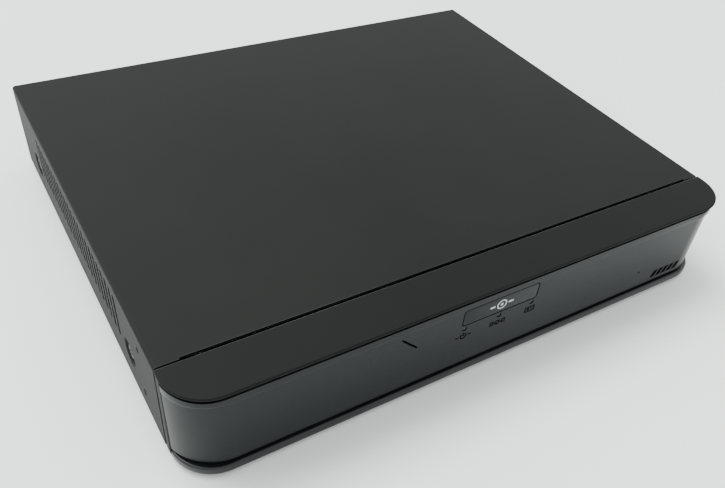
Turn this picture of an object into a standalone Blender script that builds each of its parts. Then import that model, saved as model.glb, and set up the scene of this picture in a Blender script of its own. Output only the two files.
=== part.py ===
"""A compact one-disk video recorder: a folded steel cover and tray, a moulded front with a smooth
fascia, a populated rear panel, a main board and a 3.5-inch hard drive.

Metres, +Z up, the front towards -Y. The origin is on the floor under the middle of the outer box.
"""

import math

import bmesh
import bpy
from mathutils import Matrix, Vector

MM = 0.001

# ---- outer box ----
WIDTH = 260.0
DEPTH = 220.0
HEIGHT = 44.0
JACK_REACH = 9.4
GAP = 0.3
Y_FRONT = -(DEPTH + JACK_REACH) / 2
Y_REAR = Y_FRONT + DEPTH
HALF = WIDTH / 2

# ---- sheet metal ----
SHEET = 1.0
FOLD_R = 1.5
SKIRT_Z = 3.2
Y_SEAM = Y_FRONT + 21.0
TRAY_HALF = 126.9
TRAY_FLOOR_Z = SKIRT_Z + SHEET
FLANGE_Z = 12.0
Y_TRAY_FRONT = Y_SEAM + 1.0
Y_PANEL = Y_REAR - SHEET - GAP

# ---- vents and side screws of the cover ----
VENT_COUNT = 23
VENT_PITCH = 5.13
VENT_Y0 = Y_FRONT + 66.0
VENT_WIDTH = 2.6
VENT_Z = (17.4, 38.1)
SCREW_SPOTS = ((Y_FRONT + 54.1, 19.3), (Y_FRONT + 190.4, 17.9))
CLIP_HOLES = ((Y_FRONT + 39.4, 12.4), (Y_FRONT + 39.4, 34.6))

# ---- moulded front ----
CORNER_R = 17.0
PLATE_Z = 42.8
BAND_Z = 38.8
FASCIA_Z = (7.9, 42.5)
LIP_Z = (3.3, 6.7)
FASCIA_SET = 2.0
WALL_SET = 4.6
BADGE = (36.5, 7.8, 33.3)
PIPES = (("power", -16.9), ("network", 0.0), ("disk", 16.7))
PIPE_Z = 27.2

# ---- rear panel ----
JACK_COLUMNS = (-108.0, -90.5, -71.5, -54.0)
JACK_ROWS = (16.9, 31.4)
TAB_X = (-121.5, -33.0, 121.5)
TAB_Z = 38.3
AUDIO_X = (-38.5, -26.5)
ANALOGUE_X = -1.0
DIGITAL_X = 24.5
DATA_X = 43.0
NETWORK_X = 62.5
TERMINAL_X = 80.0
DC_X = 95.0
SWITCH_X = 110.5
SWITCH_Z = 24.0
GROUND_SPOT = (95.0, 33.0)

# ---- board and drive ----
BOARD_Z = (7.5, 9.1)
BOARD_X = (-119.5, 104.0)
BOARD_Y = (27.0, Y_PANEL - SHEET - 1.0)
BOARD_HOLES = ((-114.0, 32.0), (-22.0, 32.0), (98.0, 32.0), (-30.0, 80.0))
# Middle x and y, width, depth and height of each component on the board.
BOARD_PARTS = ((-78, 50, 22, 22, 2.0), (-52, 44, 12, 10, 1.5), (-52, 60, 12, 10, 1.5), (52, 50, 9, 9, 8.0),
               (66, 50, 11, 11, 5.5), (84, 44, 8, 8, 10.0), (-96, 44, 10, 14, 1.6))
PORT_Z = BOARD_Z[1] + GAP
DRIVE = (-30.0, 117.0, -89.0, 12.6)
DRIVE_Z = (6.6, 31.1)
DRIVE_HOLES = ((11.3, -85.6), (87.5, -85.6), (11.3, 9.2), (87.5, 9.2))

FEET = (("front_left", -104.0, -78.0), ("front_right", 104.0, -78.0),
        ("rear_left", -104.0, 84.0), ("rear_right", 104.0, 84.0))


def clear_scene():
    for obj in list(bpy.data.objects):
        bpy.data.objects.remove(obj, do_unlink=True)


def linear(channel):
    if channel <= 0.04045:
        return channel / 12.92
    return ((channel + 0.055) / 1.055) ** 2.4


def material(name, hex_code, roughness, metallic=0.0):
    found = bpy.data.materials.get(name)
    if found:
        return found
    made = bpy.data.materials.new(name)
    made.use_nodes = True
    shader = made.node_tree.nodes["Principled BSDF"]
    rgb = [linear(int(hex_code[i:i + 2], 16) / 255) for i in (0, 2, 4)]
    shader.inputs["Base Color"].default_value = (*rgb, 1.0)
    shader.inputs["Roughness"].default_value = roughness
    shader.inputs["Metallic"].default_value = metallic
    return made


def coat():
    return material("black_powder_coat", "33383A", 0.5)


def textured_plastic():
    return material("textured_black_plastic", "323634", 0.55)


def nickel():
    return material("nickel_plate", "B9B7B0", 0.3, 1.0)


def zinc():
    return material("zinc_plated_steel", "B4B8BA", 0.35, 1.0)


def black_plastic():
    return material("moulded_black_plastic", "1C1D1E", 0.5)


def green_board():
    return material("green_solder_mask", "1F5A35", 0.4)


def object_from(name, bm, skin):
    bmesh.ops.recalc_face_normals(bm, faces=bm.faces)
    if bm.calc_volume(signed=True) < 0:
        bmesh.ops.reverse_faces(bm, faces=bm.faces)
    mesh = bpy.data.meshes.new(name)
    bm.to_mesh(mesh)
    bm.free()
    obj = bpy.data.objects.new(name, mesh)
    bpy.context.scene.collection.objects.link(obj)
    if skin:
        mesh.materials.append(skin)
    else:
        obj.hide_render = True
        obj.display_type = "WIRE"
    return obj


def add_box(bm, x, y, z):
    """A closed box between the pairs x, y and z, in millimetres."""
    corners = [bm.verts.new((a * MM, b * MM, c * MM)) for c in z for b in y for a in x]
    for ring in ((0, 2, 3, 1), (4, 5, 7, 6), (0, 1, 5, 4), (1, 3, 7, 5), (3, 2, 6, 7), (2, 0, 4, 6)):
        bm.faces.new([corners[i] for i in ring])


def add_loft(bm, levels):
    """A closed solid through rings of the same number of points, in millimetres."""
    rings = [[bm.verts.new(Vector(p) * MM) for p in ring] for ring in levels]
    for low, high in zip(rings, rings[1:]):
        for i in range(len(low)):
            j = (i + 1) % len(low)
            bm.faces.new((low[i], low[j], high[j], high[i]))
    bm.faces.new(list(reversed(rings[0])))
    bm.faces.new(rings[-1])


def add_turned(bm, profile, centre, axis, segments, closed=False):
    """A turned solid: profile holds (radius, height) pairs along axis from centre."""
    turn = Vector((0, 0, 1)).rotation_difference(Vector(axis)).to_matrix()
    middle = Vector(centre)
    rings = []
    for radius, height in profile:
        if radius == 0:
            rings.append([bm.verts.new((middle + turn @ Vector((0, 0, height))) * MM)])
            continue
        ring = []
        for k in range(segments):
            angle = 2 * math.pi * (k + 0.5) / segments
            point = Vector((radius * math.cos(angle), radius * math.sin(angle), height))
            ring.append(bm.verts.new((middle + turn @ point) * MM))
        rings.append(ring)
    pairs = list(zip(rings, rings[1:]))
    if closed:
        pairs.append((rings[-1], rings[0]))
    for low, high in pairs:
        for k in range(segments):
            n = (k + 1) % segments
            if len(low) == 1:
                bm.faces.new((low[0], high[n], high[k]))
            elif len(high) == 1:
                bm.faces.new((low[k], low[n], high[0]))
            else:
                bm.faces.new((low[k], low[n], high[n], high[k]))


def boxes(name, skin, *spans):
    bm = bmesh.new()
    for span in spans:
        add_box(bm, *span)
    return object_from(name, bm, skin)


def turned(name, skin, profile, centre, axis, segments=16, closed=False):
    bm = bmesh.new()
    add_turned(bm, profile, centre, axis, segments, closed)
    obj = object_from(name, bm, skin)
    smooth(obj)
    return obj


def lofted(name, skin, levels):
    bm = bmesh.new()
    add_loft(bm, levels)
    return object_from(name, bm, skin)


def drill(name, spots, radius, half_length, axis, segments=12):
    """A cutter of equal round pins, each centred on its spot."""
    bm = bmesh.new()
    profile = ((0, -half_length), (radius, -half_length), (radius, half_length), (0, half_length))
    for spot in spots:
        add_turned(bm, profile, spot, axis, segments)
    return object_from(name, bm, None)


def smooth(obj):
    for polygon in obj.data.polygons:
        polygon.use_smooth = True
    obj.data.set_sharp_from_angle(angle=math.radians(35))


def combine(target, tool, operation, solver="EXACT"):
    step = target.modifiers.new(tool.name, "BOOLEAN")
    step.operation = operation
    step.solver = solver
    step.object = tool
    tool.hide_render = True
    tool.display_type = "WIRE"


def cut(target, tool, solver="EXACT"):
    combine(target, tool, "DIFFERENCE", solver)


def punch(target, tool):
    """Cut for the tray, whose many close edges the exact solver leaves open."""
    cut(target, tool, "MANIFOLD")


def join(target, tool):
    combine(target, tool, "UNION")


def arc(centre_a, centre_b, radius, start, end, steps):
    points = []
    for k in range(steps + 1):
        angle = math.radians(start + (end - start) * k / steps)
        points.append((centre_a + radius * math.cos(angle), centre_b + radius * math.sin(angle)))
    return points


def front_outline(side, front, radius, back):
    """Plan outline of the moulded front, from the back left round the front to the back right.

    A corner that starts behind the back line is cut off there."""
    x = HALF - side - radius
    y = Y_FRONT + front + radius
    trim = math.degrees(math.asin(max(0.0, y - back) / radius))
    left = arc(-x, y, radius, 180 + trim, 270, 8)
    right = arc(x, y, radius, 270, 360 - trim, 8)
    if trim:
        return left + right
    return [(-x - radius, back)] + left + right + [(x + radius, back)]


def at_height(outline, z):
    return [(x, y, z) for x, y in outline]


# ---------------------------------------------------------------- enclosure


def cover_section():
    x = HALF
    top = HEIGHT
    outer = [(-x, SKIRT_Z)] + arc(-x + FOLD_R, top - FOLD_R, FOLD_R, 180, 90, 3)
    outer += arc(x - FOLD_R, top - FOLD_R, FOLD_R, 90, 0, 3) + [(x, SKIRT_Z)]
    inner_r = FOLD_R - SHEET
    inner = [(x - SHEET, SKIRT_Z)] + arc(x - FOLD_R, top - FOLD_R, inner_r, 0, 90, 2)
    inner += arc(-x + FOLD_R, top - FOLD_R, inner_r, 90, 180, 2) + [(-x + SHEET, SKIRT_Z)]
    return outer + inner


def slot_ring(y, x):
    """Outline of one vertical round-ended vent slot, at the given x."""
    r = VENT_WIDTH / 2
    points = arc(y, VENT_Z[1] - r, r, 0, 180, 4) + arc(y, VENT_Z[0] + r, r, 180, 360, 4)
    return [(x, a, b) for a, b in points]


def make_cover():
    section = cover_section()
    levels = [[(a, y, b) for a, b in section] for y in (Y_SEAM, Y_REAR)]
    cover = lofted("top_cover", coat(), levels)
    smooth(cover)

    tabs = bmesh.new()
    for x in TAB_X:
        half = 5.0
        add_box(tabs, (x - half, x + half), (Y_REAR - SHEET, Y_REAR - 0.1), (33.5, HEIGHT - 0.4))
    join(cover, object_from("cover_tabs", tabs, None))

    dimples = bmesh.new()
    recess = bmesh.new()
    cup = ((0, 0.5), (6.2, 0.5), (4.9, 2.8), (0, 2.8))
    hollow = ((0, -1.0), (5.35, -1.0), (5.35, 0.0), (4.0, 1.8), (0, 1.8))
    for side in (-1, 1):
        for y, z in SCREW_SPOTS:
            spot = (side * HALF, y, z)
            inward = (-side, 0, 0)
            add_turned(dimples, cup, spot, inward, 16)
            add_turned(recess, hollow, spot, inward, 16)
    join(cover, object_from("cover_dimples", dimples, None))
    cut(cover, object_from("cover_recesses", recess, None))

    slots = bmesh.new()
    for k in range(VENT_COUNT):
        y = VENT_Y0 + VENT_PITCH * k
        add_loft(slots, [slot_ring(y, -HALF - 2), slot_ring(y, HALF + 2)])
    cut(cover, object_from("cover_vents", slots, None))

    across = [(0, y, z) for y, z in SCREW_SPOTS]
    cut(cover, drill("cover_screw_holes", across, 1.8, HALF + 5, (1, 0, 0)))
    across = [(0, y, z) for y, z in CLIP_HOLES]
    cut(cover, drill("cover_clip_holes", across, 1.5, HALF + 5, (1, 0, 0)))
    rear = [(x, Y_REAR, TAB_Z) for x in TAB_X]
    cut(cover, drill("cover_tab_holes", rear, 1.8, 5, (0, 1, 0)))

    set_back = boxes("cover_set_back", None, ((-121, 121), (Y_SEAM - 1, Y_SEAM + 0.5), (42.4, 45)))
    cut(cover, set_back)


def make_chassis():
    z = SKIRT_Z
    t = SHEET
    w = TRAY_HALF
    section = [(-w, z), (w, z), (w, FLANGE_Z), (w - t, FLANGE_Z), (w - t, z + t),
               (-w + t, z + t), (-w + t, FLANGE_Z), (-w, FLANGE_Z)]
    levels = [[(a, y, b) for a, b in section] for y in (Y_TRAY_FRONT, Y_PANEL - t / 2)]
    tray = lofted("base_chassis", coat(), levels)

    walls = bmesh.new()
    add_box(walls, (-HALF + 1.6, HALF - 1.6), (Y_PANEL - t, Y_PANEL), (z + 0.2, 42.6))
    join(tray, object_from("tray_rear_panel", walls, None))
    y = Y_TRAY_FRONT + 0.2
    front = boxes("tray_front_wall", None, ((-118, 118), (y, y + t), (z + 0.5, 36)))
    join(tray, front)

    tabs = bmesh.new()
    for side in (-1, 1):
        inner, outer = sorted((side * (w - t), side * w))
        for y, spot_z in SCREW_SPOTS:
            add_box(tabs, (inner + 0.1, outer - 0.1), (y - 8, y + 8), (10, spot_z + 7))
    join(tray, object_from("tray_screw_tabs", tabs, None))

    pillars = bmesh.new()
    top = BOARD_Z[0] - GAP
    profile = ((0, z + 0.5), (3.2, z + 0.5), (3.2, top), (0, top))
    for x, y in BOARD_HOLES:
        add_turned(pillars, profile, (x, y, 0), (0, 0, 1), 12)
    top = DRIVE_Z[0] - GAP
    profile = ((0, z + 0.5), (5.0, z + 0.5), (4.2, top), (0, top))
    for x, y in DRIVE_HOLES:
        add_turned(pillars, profile, (x, y, 0), (0, 0, 1), 12)
    join(tray, object_from("tray_pillars", pillars, None))

    down = [(x, y, BOARD_Z[0]) for x, y in BOARD_HOLES]
    cut(tray, drill("tray_board_holes", down, 1.8, 2.6, (0, 0, 1)))
    down = [(x, y, z) for x, y in DRIVE_HOLES]
    punch(tray, drill("tray_drive_holes", down, 2.2, 6, (0, 0, 1)))
    across = [(0, y, spot_z) for y, spot_z in SCREW_SPOTS]
    punch(tray, drill("tray_side_holes", across, 1.8, HALF, (1, 0, 0)))
    cut_rear_panel(tray)
    cut_front_wall(tray)
    cut_floor_slots(tray)


def cut_rear_panel(tray):
    span = (Y_PANEL - 3, Y_PANEL + 3)
    windows = bmesh.new()
    add_box(windows, (DIGITAL_X - 8.0, DIGITAL_X + 8.0), span, (PORT_Z - 0.1, PORT_Z + 6.8))
    add_box(windows, (DATA_X - 7.6, DATA_X + 7.6), span, (PORT_Z - 0.1, PORT_Z + 16.2))
    add_box(windows, (NETWORK_X - 8.4, NETWORK_X + 8.4), span, (PORT_Z - 0.1, PORT_Z + 14.1))
    add_box(windows, (TERMINAL_X - 5.6, TERMINAL_X + 5.6), span, (PORT_Z - 0.1, PORT_Z + 9.1))
    add_box(windows, (DC_X - 5.0, DC_X + 5.0), span, (PORT_Z - 0.1, PORT_Z + 11.6))
    add_box(windows, (SWITCH_X - 4.7, SWITCH_X + 4.7), span, (SWITCH_Z - 7.0, SWITCH_Z + 7.0))
    punch(tray, object_from("panel_windows", windows, None))

    shell = [(ANALOGUE_X + a * 1.08, b * 1.1 + PORT_Z + 7.0) for a, b in d_outline()]
    levels = [[(a, y, b) for a, b in shell] for y in span]
    punch(tray, lofted("panel_analogue_window", None, levels))
    posts = [(ANALOGUE_X + side * 12.5, Y_PANEL, PORT_Z + 7.0) for side in (-1, 1)]
    punch(tray, drill("panel_analogue_posts", posts, 3.0, 3, (0, 1, 0)))
    spots = [(x, Y_PANEL, z) for x in JACK_COLUMNS for z in JACK_ROWS]
    punch(tray, drill("panel_jack_holes", spots, 6.6, 3, (0, 1, 0), 16))
    spots = [(x, Y_PANEL, PORT_Z + 6.5) for x in AUDIO_X]
    punch(tray, drill("panel_audio_holes", spots, 4.6, 3, (0, 1, 0), 16))
    spots = [(x, Y_PANEL, TAB_Z) for x in TAB_X]
    spots.append((GROUND_SPOT[0], Y_PANEL, GROUND_SPOT[1]))
    punch(tray, drill("panel_screw_holes", spots, 1.8, 3, (0, 1, 0)))


def cut_front_wall(tray):
    span = (Y_TRAY_FRONT - 2, Y_TRAY_FRONT + 3)
    holes = bmesh.new()
    add_box(holes, (-40, 40), span, (20, 33))
    for x in (-80, 80):
        add_box(holes, (x - 6, x + 6), span, (13, 17))
    punch(tray, object_from("front_wall_windows", holes, None))


def cut_floor_slots(tray):
    slots = bmesh.new()
    for k in range(9):
        x = -106 + 8 * k
        add_box(slots, (x, x + 3), (-62, -24), (SKIRT_Z - 2, TRAY_FLOOR_Z + 2))
    punch(tray, object_from("floor_slots", slots, None))


def make_front():
    back = Y_SEAM - GAP
    shelf = Y_FRONT + 16.0
    plate = front_outline(0, 0, CORNER_R, back)
    eased = front_outline(0.5, 0.5, CORNER_R - 0.5, back)
    levels = [at_height(plate, PLATE_Z), at_height(plate, HEIGHT - 0.5), at_height(eased, HEIGHT)]
    front = lofted("front_bezel", textured_plastic(), levels)
    smooth(front)

    wall = front_outline(WALL_SET, WALL_SET, CORNER_R - 3, back - 0.1)
    join(front, lofted("bezel_wall", None, [at_height(wall, LIP_Z[0] + 0.5), at_height(wall, PLATE_Z + 0.6)]))
    lip = front_outline(0.4, 1.2, CORNER_R - 0.5, back - 0.2)
    low = front_outline(1.0, 1.8, CORNER_R - 1, back - 0.2)
    levels = [at_height(low, LIP_Z[0]), at_height(lip, LIP_Z[0] + 0.8), at_height(lip, LIP_Z[1])]
    join(front, lofted("bezel_lip", None, levels))

    cheeks = bmesh.new()
    for side in (-1, 1):
        x = sorted((side * (HALF - 6), side * (HALF - 0.1)))
        add_box(cheeks, x, (shelf, back - 0.3), (LIP_Z[0] + 0.4, PLATE_Z + 0.5))
    join(front, object_from("bezel_cheeks", cheeks, None))

    inner = front_outline(WALL_SET + 2, WALL_SET + 2, CORNER_R - 5, back + 3)
    cut(front, lofted("bezel_hollow", None, [at_height(inner, LIP_Z[0] + 2), at_height(inner, HEIGHT - 1.6)]))

    clips = bmesh.new()
    for x in (-80, 80):
        add_box(clips, (x - 5, x + 5), (Y_FRONT + 5.5, Y_SEAM + 3.7), (14, 16))
    join(front, object_from("bezel_clips", clips, None))
    spots = [(x, Y_FRONT + 6, PIPE_Z) for _, x in PIPES]
    cut(front, drill("bezel_pipe_holes", spots, 1.5, 4, (0, 1, 0)))


def fascia_ring(side, front, radius, z):
    """One level of the curved fascia: its outer face, then its inner face back again."""
    back = Y_FRONT + 16.0 - GAP
    outer = front_outline(side, front, radius, back)
    inner = front_outline(WALL_SET - GAP, WALL_SET - GAP, CORNER_R - 2.7, back)
    return at_height(outer + list(reversed(inner)), z)


def make_fascia():
    low, high = FASCIA_Z
    levels = [fascia_ring(0.4, FASCIA_SET + 0.3, CORNER_R + 2, low),
              fascia_ring(0.3, FASCIA_SET, CORNER_R + 2, BAND_Z - 0.6),
              fascia_ring(0.2, FASCIA_SET - 0.2, CORNER_R, BAND_Z),
              fascia_ring(0.1, FASCIA_SET - 0.3, CORNER_R, high)]
    fascia = lofted("front_fascia", material("satin_black_fascia", "35393C", 0.4), levels)
    smooth(fascia)
    width, height, z = BADGE
    w = width / 2 + GAP
    h = height / 2 + GAP
    seat = boxes("fascia_badge_seat", None, ((-w, w), (Y_FRONT, Y_FRONT + 3.4), (z - h, z + h)))
    cut(fascia, seat)
    spots = [(x, Y_FRONT + 2, PIPE_Z) for _, x in PIPES]
    cut(fascia, drill("fascia_pipe_holes", spots, 1.3, 5, (0, 1, 0)))
    groove = slanted_groove()
    cut(fascia, groove)


def slanted_groove():
    """Cutter for the short slanting groove left of the badge."""
    y = (Y_FRONT, Y_FRONT + FASCIA_SET + 0.8)
    start = Vector((-45.7, 35.5))
    end = Vector((-38.4, 28.0))
    side = (end - start).orthogonal().normalized() * 0.45
    corners = (start + side, start - side, end - side, end + side)
    return lofted("fascia_groove", None, [[(p.x, b, p.y) for p in corners] for b in y])


def make_badge():
    width, height, z = BADGE
    r = 1.2
    x = width / 2
    h = height / 2
    ring = []
    for sx, sz, start in ((1, 1, 0), (-1, 1, 90), (-1, -1, 180), (1, -1, 270)):
        ring += arc(sx * (x - r), z + sz * (h - r), r, start, start + 90, 3)
    levels = [[(a, y, b) for a, b in ring] for y in (Y_FRONT + FASCIA_SET + 0.1, Y_FRONT + 3.1)]
    lofted("badge_plate", material("gloss_black_badge", "3A3D40", 0.25), levels)


def make_light_pipes():
    clear = material("clear_light_pipe", "C9D6D2", 0.15)
    for name, x in PIPES:
        profile = ((0, 0), (1.0, 0), (1.0, 9.0), (1.2, 9.0), (1.2, 11.0), (0, 11.0))
        turned("light_pipe_" + name, clear, profile, (x, Y_FRONT + FASCIA_SET + 0.2, PIPE_Z), (0, 1, 0), 12)


def make_feet():
    rubber = material("black_rubber", "191A1A", 0.85)
    for name, x, y in FEET:
        profile = ((0, 0), (7.0, 0), (7.6, 0.6), (8.0, SKIRT_Z - GAP), (0, SKIRT_Z - GAP))
        turned("foot_" + name, rubber, profile, (x, y, 0), (0, 0, 1))


def make_screw(name, skin, spot, axis, head_r, head_h, shank_r, shank):
    """A pan-head screw seated at spot, its head towards axis, with a cross recess."""
    profile = ((0, -shank), (shank_r * 0.7, -shank), (shank_r, 0.5 - shank), (shank_r, 0), (head_r, 0),
               (head_r, head_h * 0.45), (head_r * 0.72, head_h * 0.88), (0, head_h))
    screw = turned(name, skin, profile, spot, axis, 12)
    arm = head_r * 0.58
    slit = head_r * 0.16
    top = head_h + 0.5
    deep = head_h * 0.35
    cross = [(slit, slit), (arm, slit), (arm, -slit), (slit, -slit), (slit, -arm), (-slit, -arm),
             (-slit, -slit), (-arm, -slit), (-arm, slit), (-slit, slit), (-slit, arm), (slit, arm)]
    turn = Vector((0, 0, 1)).rotation_difference(Vector(axis)).to_matrix()
    levels = [[Vector(spot) + turn @ Vector((a, b, h)) for a, b in cross] for h in (deep, top)]
    cut(screw, lofted(name + "_recess", None, levels))


def make_screws():
    black_screw = material("black_screw", "26282A", 0.35, 1.0)
    for side, word in ((-1, "left"), (1, "right")):
        for (y, z), place in zip(SCREW_SPOTS, ("front", "rear")):
            spot = (side * (HALF - 1.8 + GAP), y, z)
            name = "side_screw_%s_%s" % (word, place)
            make_screw(name, black_screw, spot, (side, 0, 0), 3.4, 1.3, 1.5, 6.0)
    for x, place in zip(TAB_X, ("left", "middle", "right")):
        spot = (x, Y_REAR + GAP, TAB_Z)
        make_screw("rear_screw_" + place, black_screw, spot, (0, 1, 0), 3.2, 1.9, 1.5, 6.0)
    spot = (GROUND_SPOT[0], Y_PANEL + GAP, GROUND_SPOT[1])
    make_screw("ground_screw", zinc(), spot, (0, 1, 0), 3.6, 2.2, 1.5, 6.0)
    for k, (x, y) in enumerate(BOARD_HOLES, 1):
        make_screw("board_screw_%d" % k, zinc(), (x, y, BOARD_Z[1] + GAP), (0, 0, 1), 3.0, 1.8, 1.4, 4.4)
    for k, (x, y) in enumerate(DRIVE_HOLES, 1):
        make_screw("drive_screw_%d" % k, zinc(), (x, y, SKIRT_Z - GAP), (0, 0, -1), 3.0, 1.6, 1.7, 7.0)


# ---------------------------------------------------------------- rear connectors


def jack_profile():
    """Section of a bayonet jack from its base to its tip and back down the inside."""
    face = Y_PANEL - SHEET - 1.2
    tip = Y_REAR + JACK_REACH - face
    return face, ((0, 0), (6.2, 0), (6.2, 2.6), (4.8, 3.0), (4.8, tip), (4.1, tip),
                  (4.1, tip - 7.5), (2.2, tip - 7.5), (2.2, tip - 2.0), (0, tip - 2.0))


def make_jacks():
    face, profile = jack_profile()
    lug_y = (Y_REAR + 3.6, Y_REAR + 5.4)
    number = 0
    for z in reversed(JACK_ROWS):
        for x in JACK_COLUMNS:
            number += 1
            name = "video_jack_%d" % number
            jack = turned(name, nickel(), profile, (x, face, z), (0, 1, 0), 14)
            lugs = bmesh.new()
            for middle in (x - 5.0, x + 5.0):
                add_box(lugs, (middle - 0.7, middle + 0.7), lug_y, (z - 0.9, z + 0.9))
            join(jack, object_from(name + "_lugs", lugs, None))
    for word, columns in (("left", JACK_COLUMNS[:2]), ("right", JACK_COLUMNS[2:])):
        span = ((columns[0] - 7.5, columns[1] + 7.5), (face - 16, face - GAP), (PORT_Z, PORT_Z + 29.0))
        boxes("jack_housing_" + word, black_plastic(), span)


def make_audio_jacks():
    for word, x in zip(("in", "out"), AUDIO_X):
        z = PORT_Z + 6.5
        face = Y_PANEL - SHEET - 0.5
        tip = Y_REAR + 8.0 - face
        profile = ((0, 0), (4.2, 0), (4.2, tip - 0.5), (3.8, tip), (1.7, tip), (1.7, tip - 8), (0, tip - 8))
        jack = turned("audio_jack_" + word, nickel(), profile, (x, face, z), (0, 1, 0), 14)
        base = ((x - 5.2, x + 5.2), (face - 10, face + 0.3), (PORT_Z, PORT_Z + 12))
        join(jack, boxes("audio_base_" + word, None, base))


def d_outline():
    """The D-shaped shell of a 15-pin video socket, centred."""
    return [(-8.3, 2.6), (-7.0, 4.1), (7.0, 4.1), (8.3, 2.6),
            (7.2, -3.0), (6.0, -4.1), (-6.0, -4.1), (-7.2, -3.0)]


def make_analogue_video_port():
    x = ANALOGUE_X
    z = PORT_Z + 7.0
    back = Y_PANEL - SHEET - GAP
    base = ((x - 15.4, x + 15.4), (back - 12, back), (PORT_Z, PORT_Z + 13))
    port = boxes("analogue_video_port", nickel(), base)
    levels = [[(x + a, y, z + b) for a, b in d_outline()] for y in (back - 1, Y_REAR + 4.5)]
    join(port, lofted("analogue_shell", None, levels))
    rim = [(x + a * 0.9, z + b * 0.86) for a, b in d_outline()]
    levels = [[(a, y, b) for a, b in rim] for y in (Y_REAR + 3.7, Y_REAR + 6)]
    cut(port, lofted("analogue_rim", None, levels))
    posts = bmesh.new()
    profile = ((0, 0), (2.6, 0), (2.6, 8.5), (0, 8.5))
    for side in (-1, 1):
        add_turned(posts, profile, (x + side * 12.5, back - 1, z), (0, 1, 0), 6)
    join(port, object_from("analogue_posts", posts, None))
    spots = [(x + side * 12.5, back + 7.5, z) for side in (-1, 1)]
    cut(port, drill("analogue_post_threads", spots, 1.3, 5, (0, 1, 0), 8))


def make_digital_video_port():
    x = DIGITAL_X
    body = ((x - 7.6, x + 7.6), (Y_REAR - 12, Y_REAR + GAP), (PORT_Z, PORT_Z + 6.3))
    port = boxes("digital_video_port", nickel(), body)
    mouth = [(-7.0, 5.6), (7.0, 5.6), (7.0, 2.6), (5.2, 0.9), (-5.2, 0.9), (-7.0, 2.6)]
    levels = [[(x + a, b, PORT_Z + c) for a, c in mouth] for b in (Y_REAR - 9, Y_REAR + 2)]
    cut(port, lofted("digital_mouth", None, levels))
    tongue = ((x - 5.6, x + 5.6), (Y_REAR - 10, Y_REAR - 1), (PORT_Z + 2.9, PORT_Z + 4.0))
    join(port, boxes("digital_tongue", None, tongue))


def make_data_ports():
    x = DATA_X
    body = ((x - 7.2, x + 7.2), (Y_REAR - 17, Y_REAR + GAP), (PORT_Z, PORT_Z + 15.6))
    port = boxes("data_port_stack", nickel(), body)
    mouths = bmesh.new()
    tongues = bmesh.new()
    for low in (1.1, 9.2):
        z = PORT_Z + low
        add_box(mouths, (x - 6.3, x + 6.3), (Y_REAR - 12, Y_REAR + 2), (z, z + 5.3))
        add_box(tongues, (x - 5.5, x + 5.5), (Y_REAR - 13, Y_REAR - 2), (z + 2.9, z + 4.7))
    cut(port, object_from("data_mouths", mouths, None))
    join(port, object_from("data_tongues", tongues, None))


def make_network_port():
    x = NETWORK_X
    body = ((x - 8.0, x + 8.0), (Y_REAR - 21, Y_REAR + GAP), (PORT_Z, PORT_Z + 13.5))
    port = boxes("network_port", nickel(), body)
    mouth = ((x - 6.0, x + 6.0), (Y_REAR - 14, Y_REAR + 2), (PORT_Z + 3.8, PORT_Z + 11.8))
    cut(port, boxes("network_mouth", None, mouth))
    latch_way = ((x - 3.2, x + 3.2), (Y_REAR - 11, Y_REAR + 2), (PORT_Z + 1.4, PORT_Z + 4.4))
    cut(port, boxes("network_latch_way", None, latch_way))


def make_terminal():
    y = (Y_REAR - 9, Y_REAR + GAP)
    x = TERMINAL_X
    green = material("green_terminal_plastic", "2E8B4A", 0.45)
    block = boxes("control_terminal", green, ((x - 5.1, x + 5.1), y, (PORT_Z, PORT_Z + 8.6)))
    entries = bmesh.new()
    for middle in (x - 2.5, x + 2.5):
        span = (middle - 1.3, middle + 1.3)
        add_box(entries, span, (Y_REAR - 6, Y_REAR + 2), (PORT_Z + 1.8, PORT_Z + 4.8))
    cut(block, object_from("terminal_entries", entries, None))
    spots = [(x + side * 2.5, Y_REAR - 4.5, PORT_Z + 8.6) for side in (-1, 1)]
    cut(block, drill("terminal_screw_wells", spots, 1.7, 1.6, (0, 0, 1)))


def make_dc_inlet():
    y = (Y_PANEL - 13, Y_REAR + GAP)
    inlet = boxes("dc_inlet", black_plastic(), ((DC_X - 4.5, DC_X + 4.5), y, (PORT_Z, PORT_Z + 11.0)))
    ring = bmesh.new()
    z = PORT_Z + 6.3
    profile = ((2.95, -9), (2.95, 2), (1.0, 2), (1.0, -9))
    add_turned(ring, profile, (DC_X, Y_REAR, z), (0, 1, 0), 16, True)
    cut(inlet, object_from("dc_bore", ring, None))
    cap = drill("dc_pin_trim", [(DC_X, Y_REAR + 1.5, z)], 1.4, 2.0, (0, 1, 0))
    cut(inlet, cap)


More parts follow.
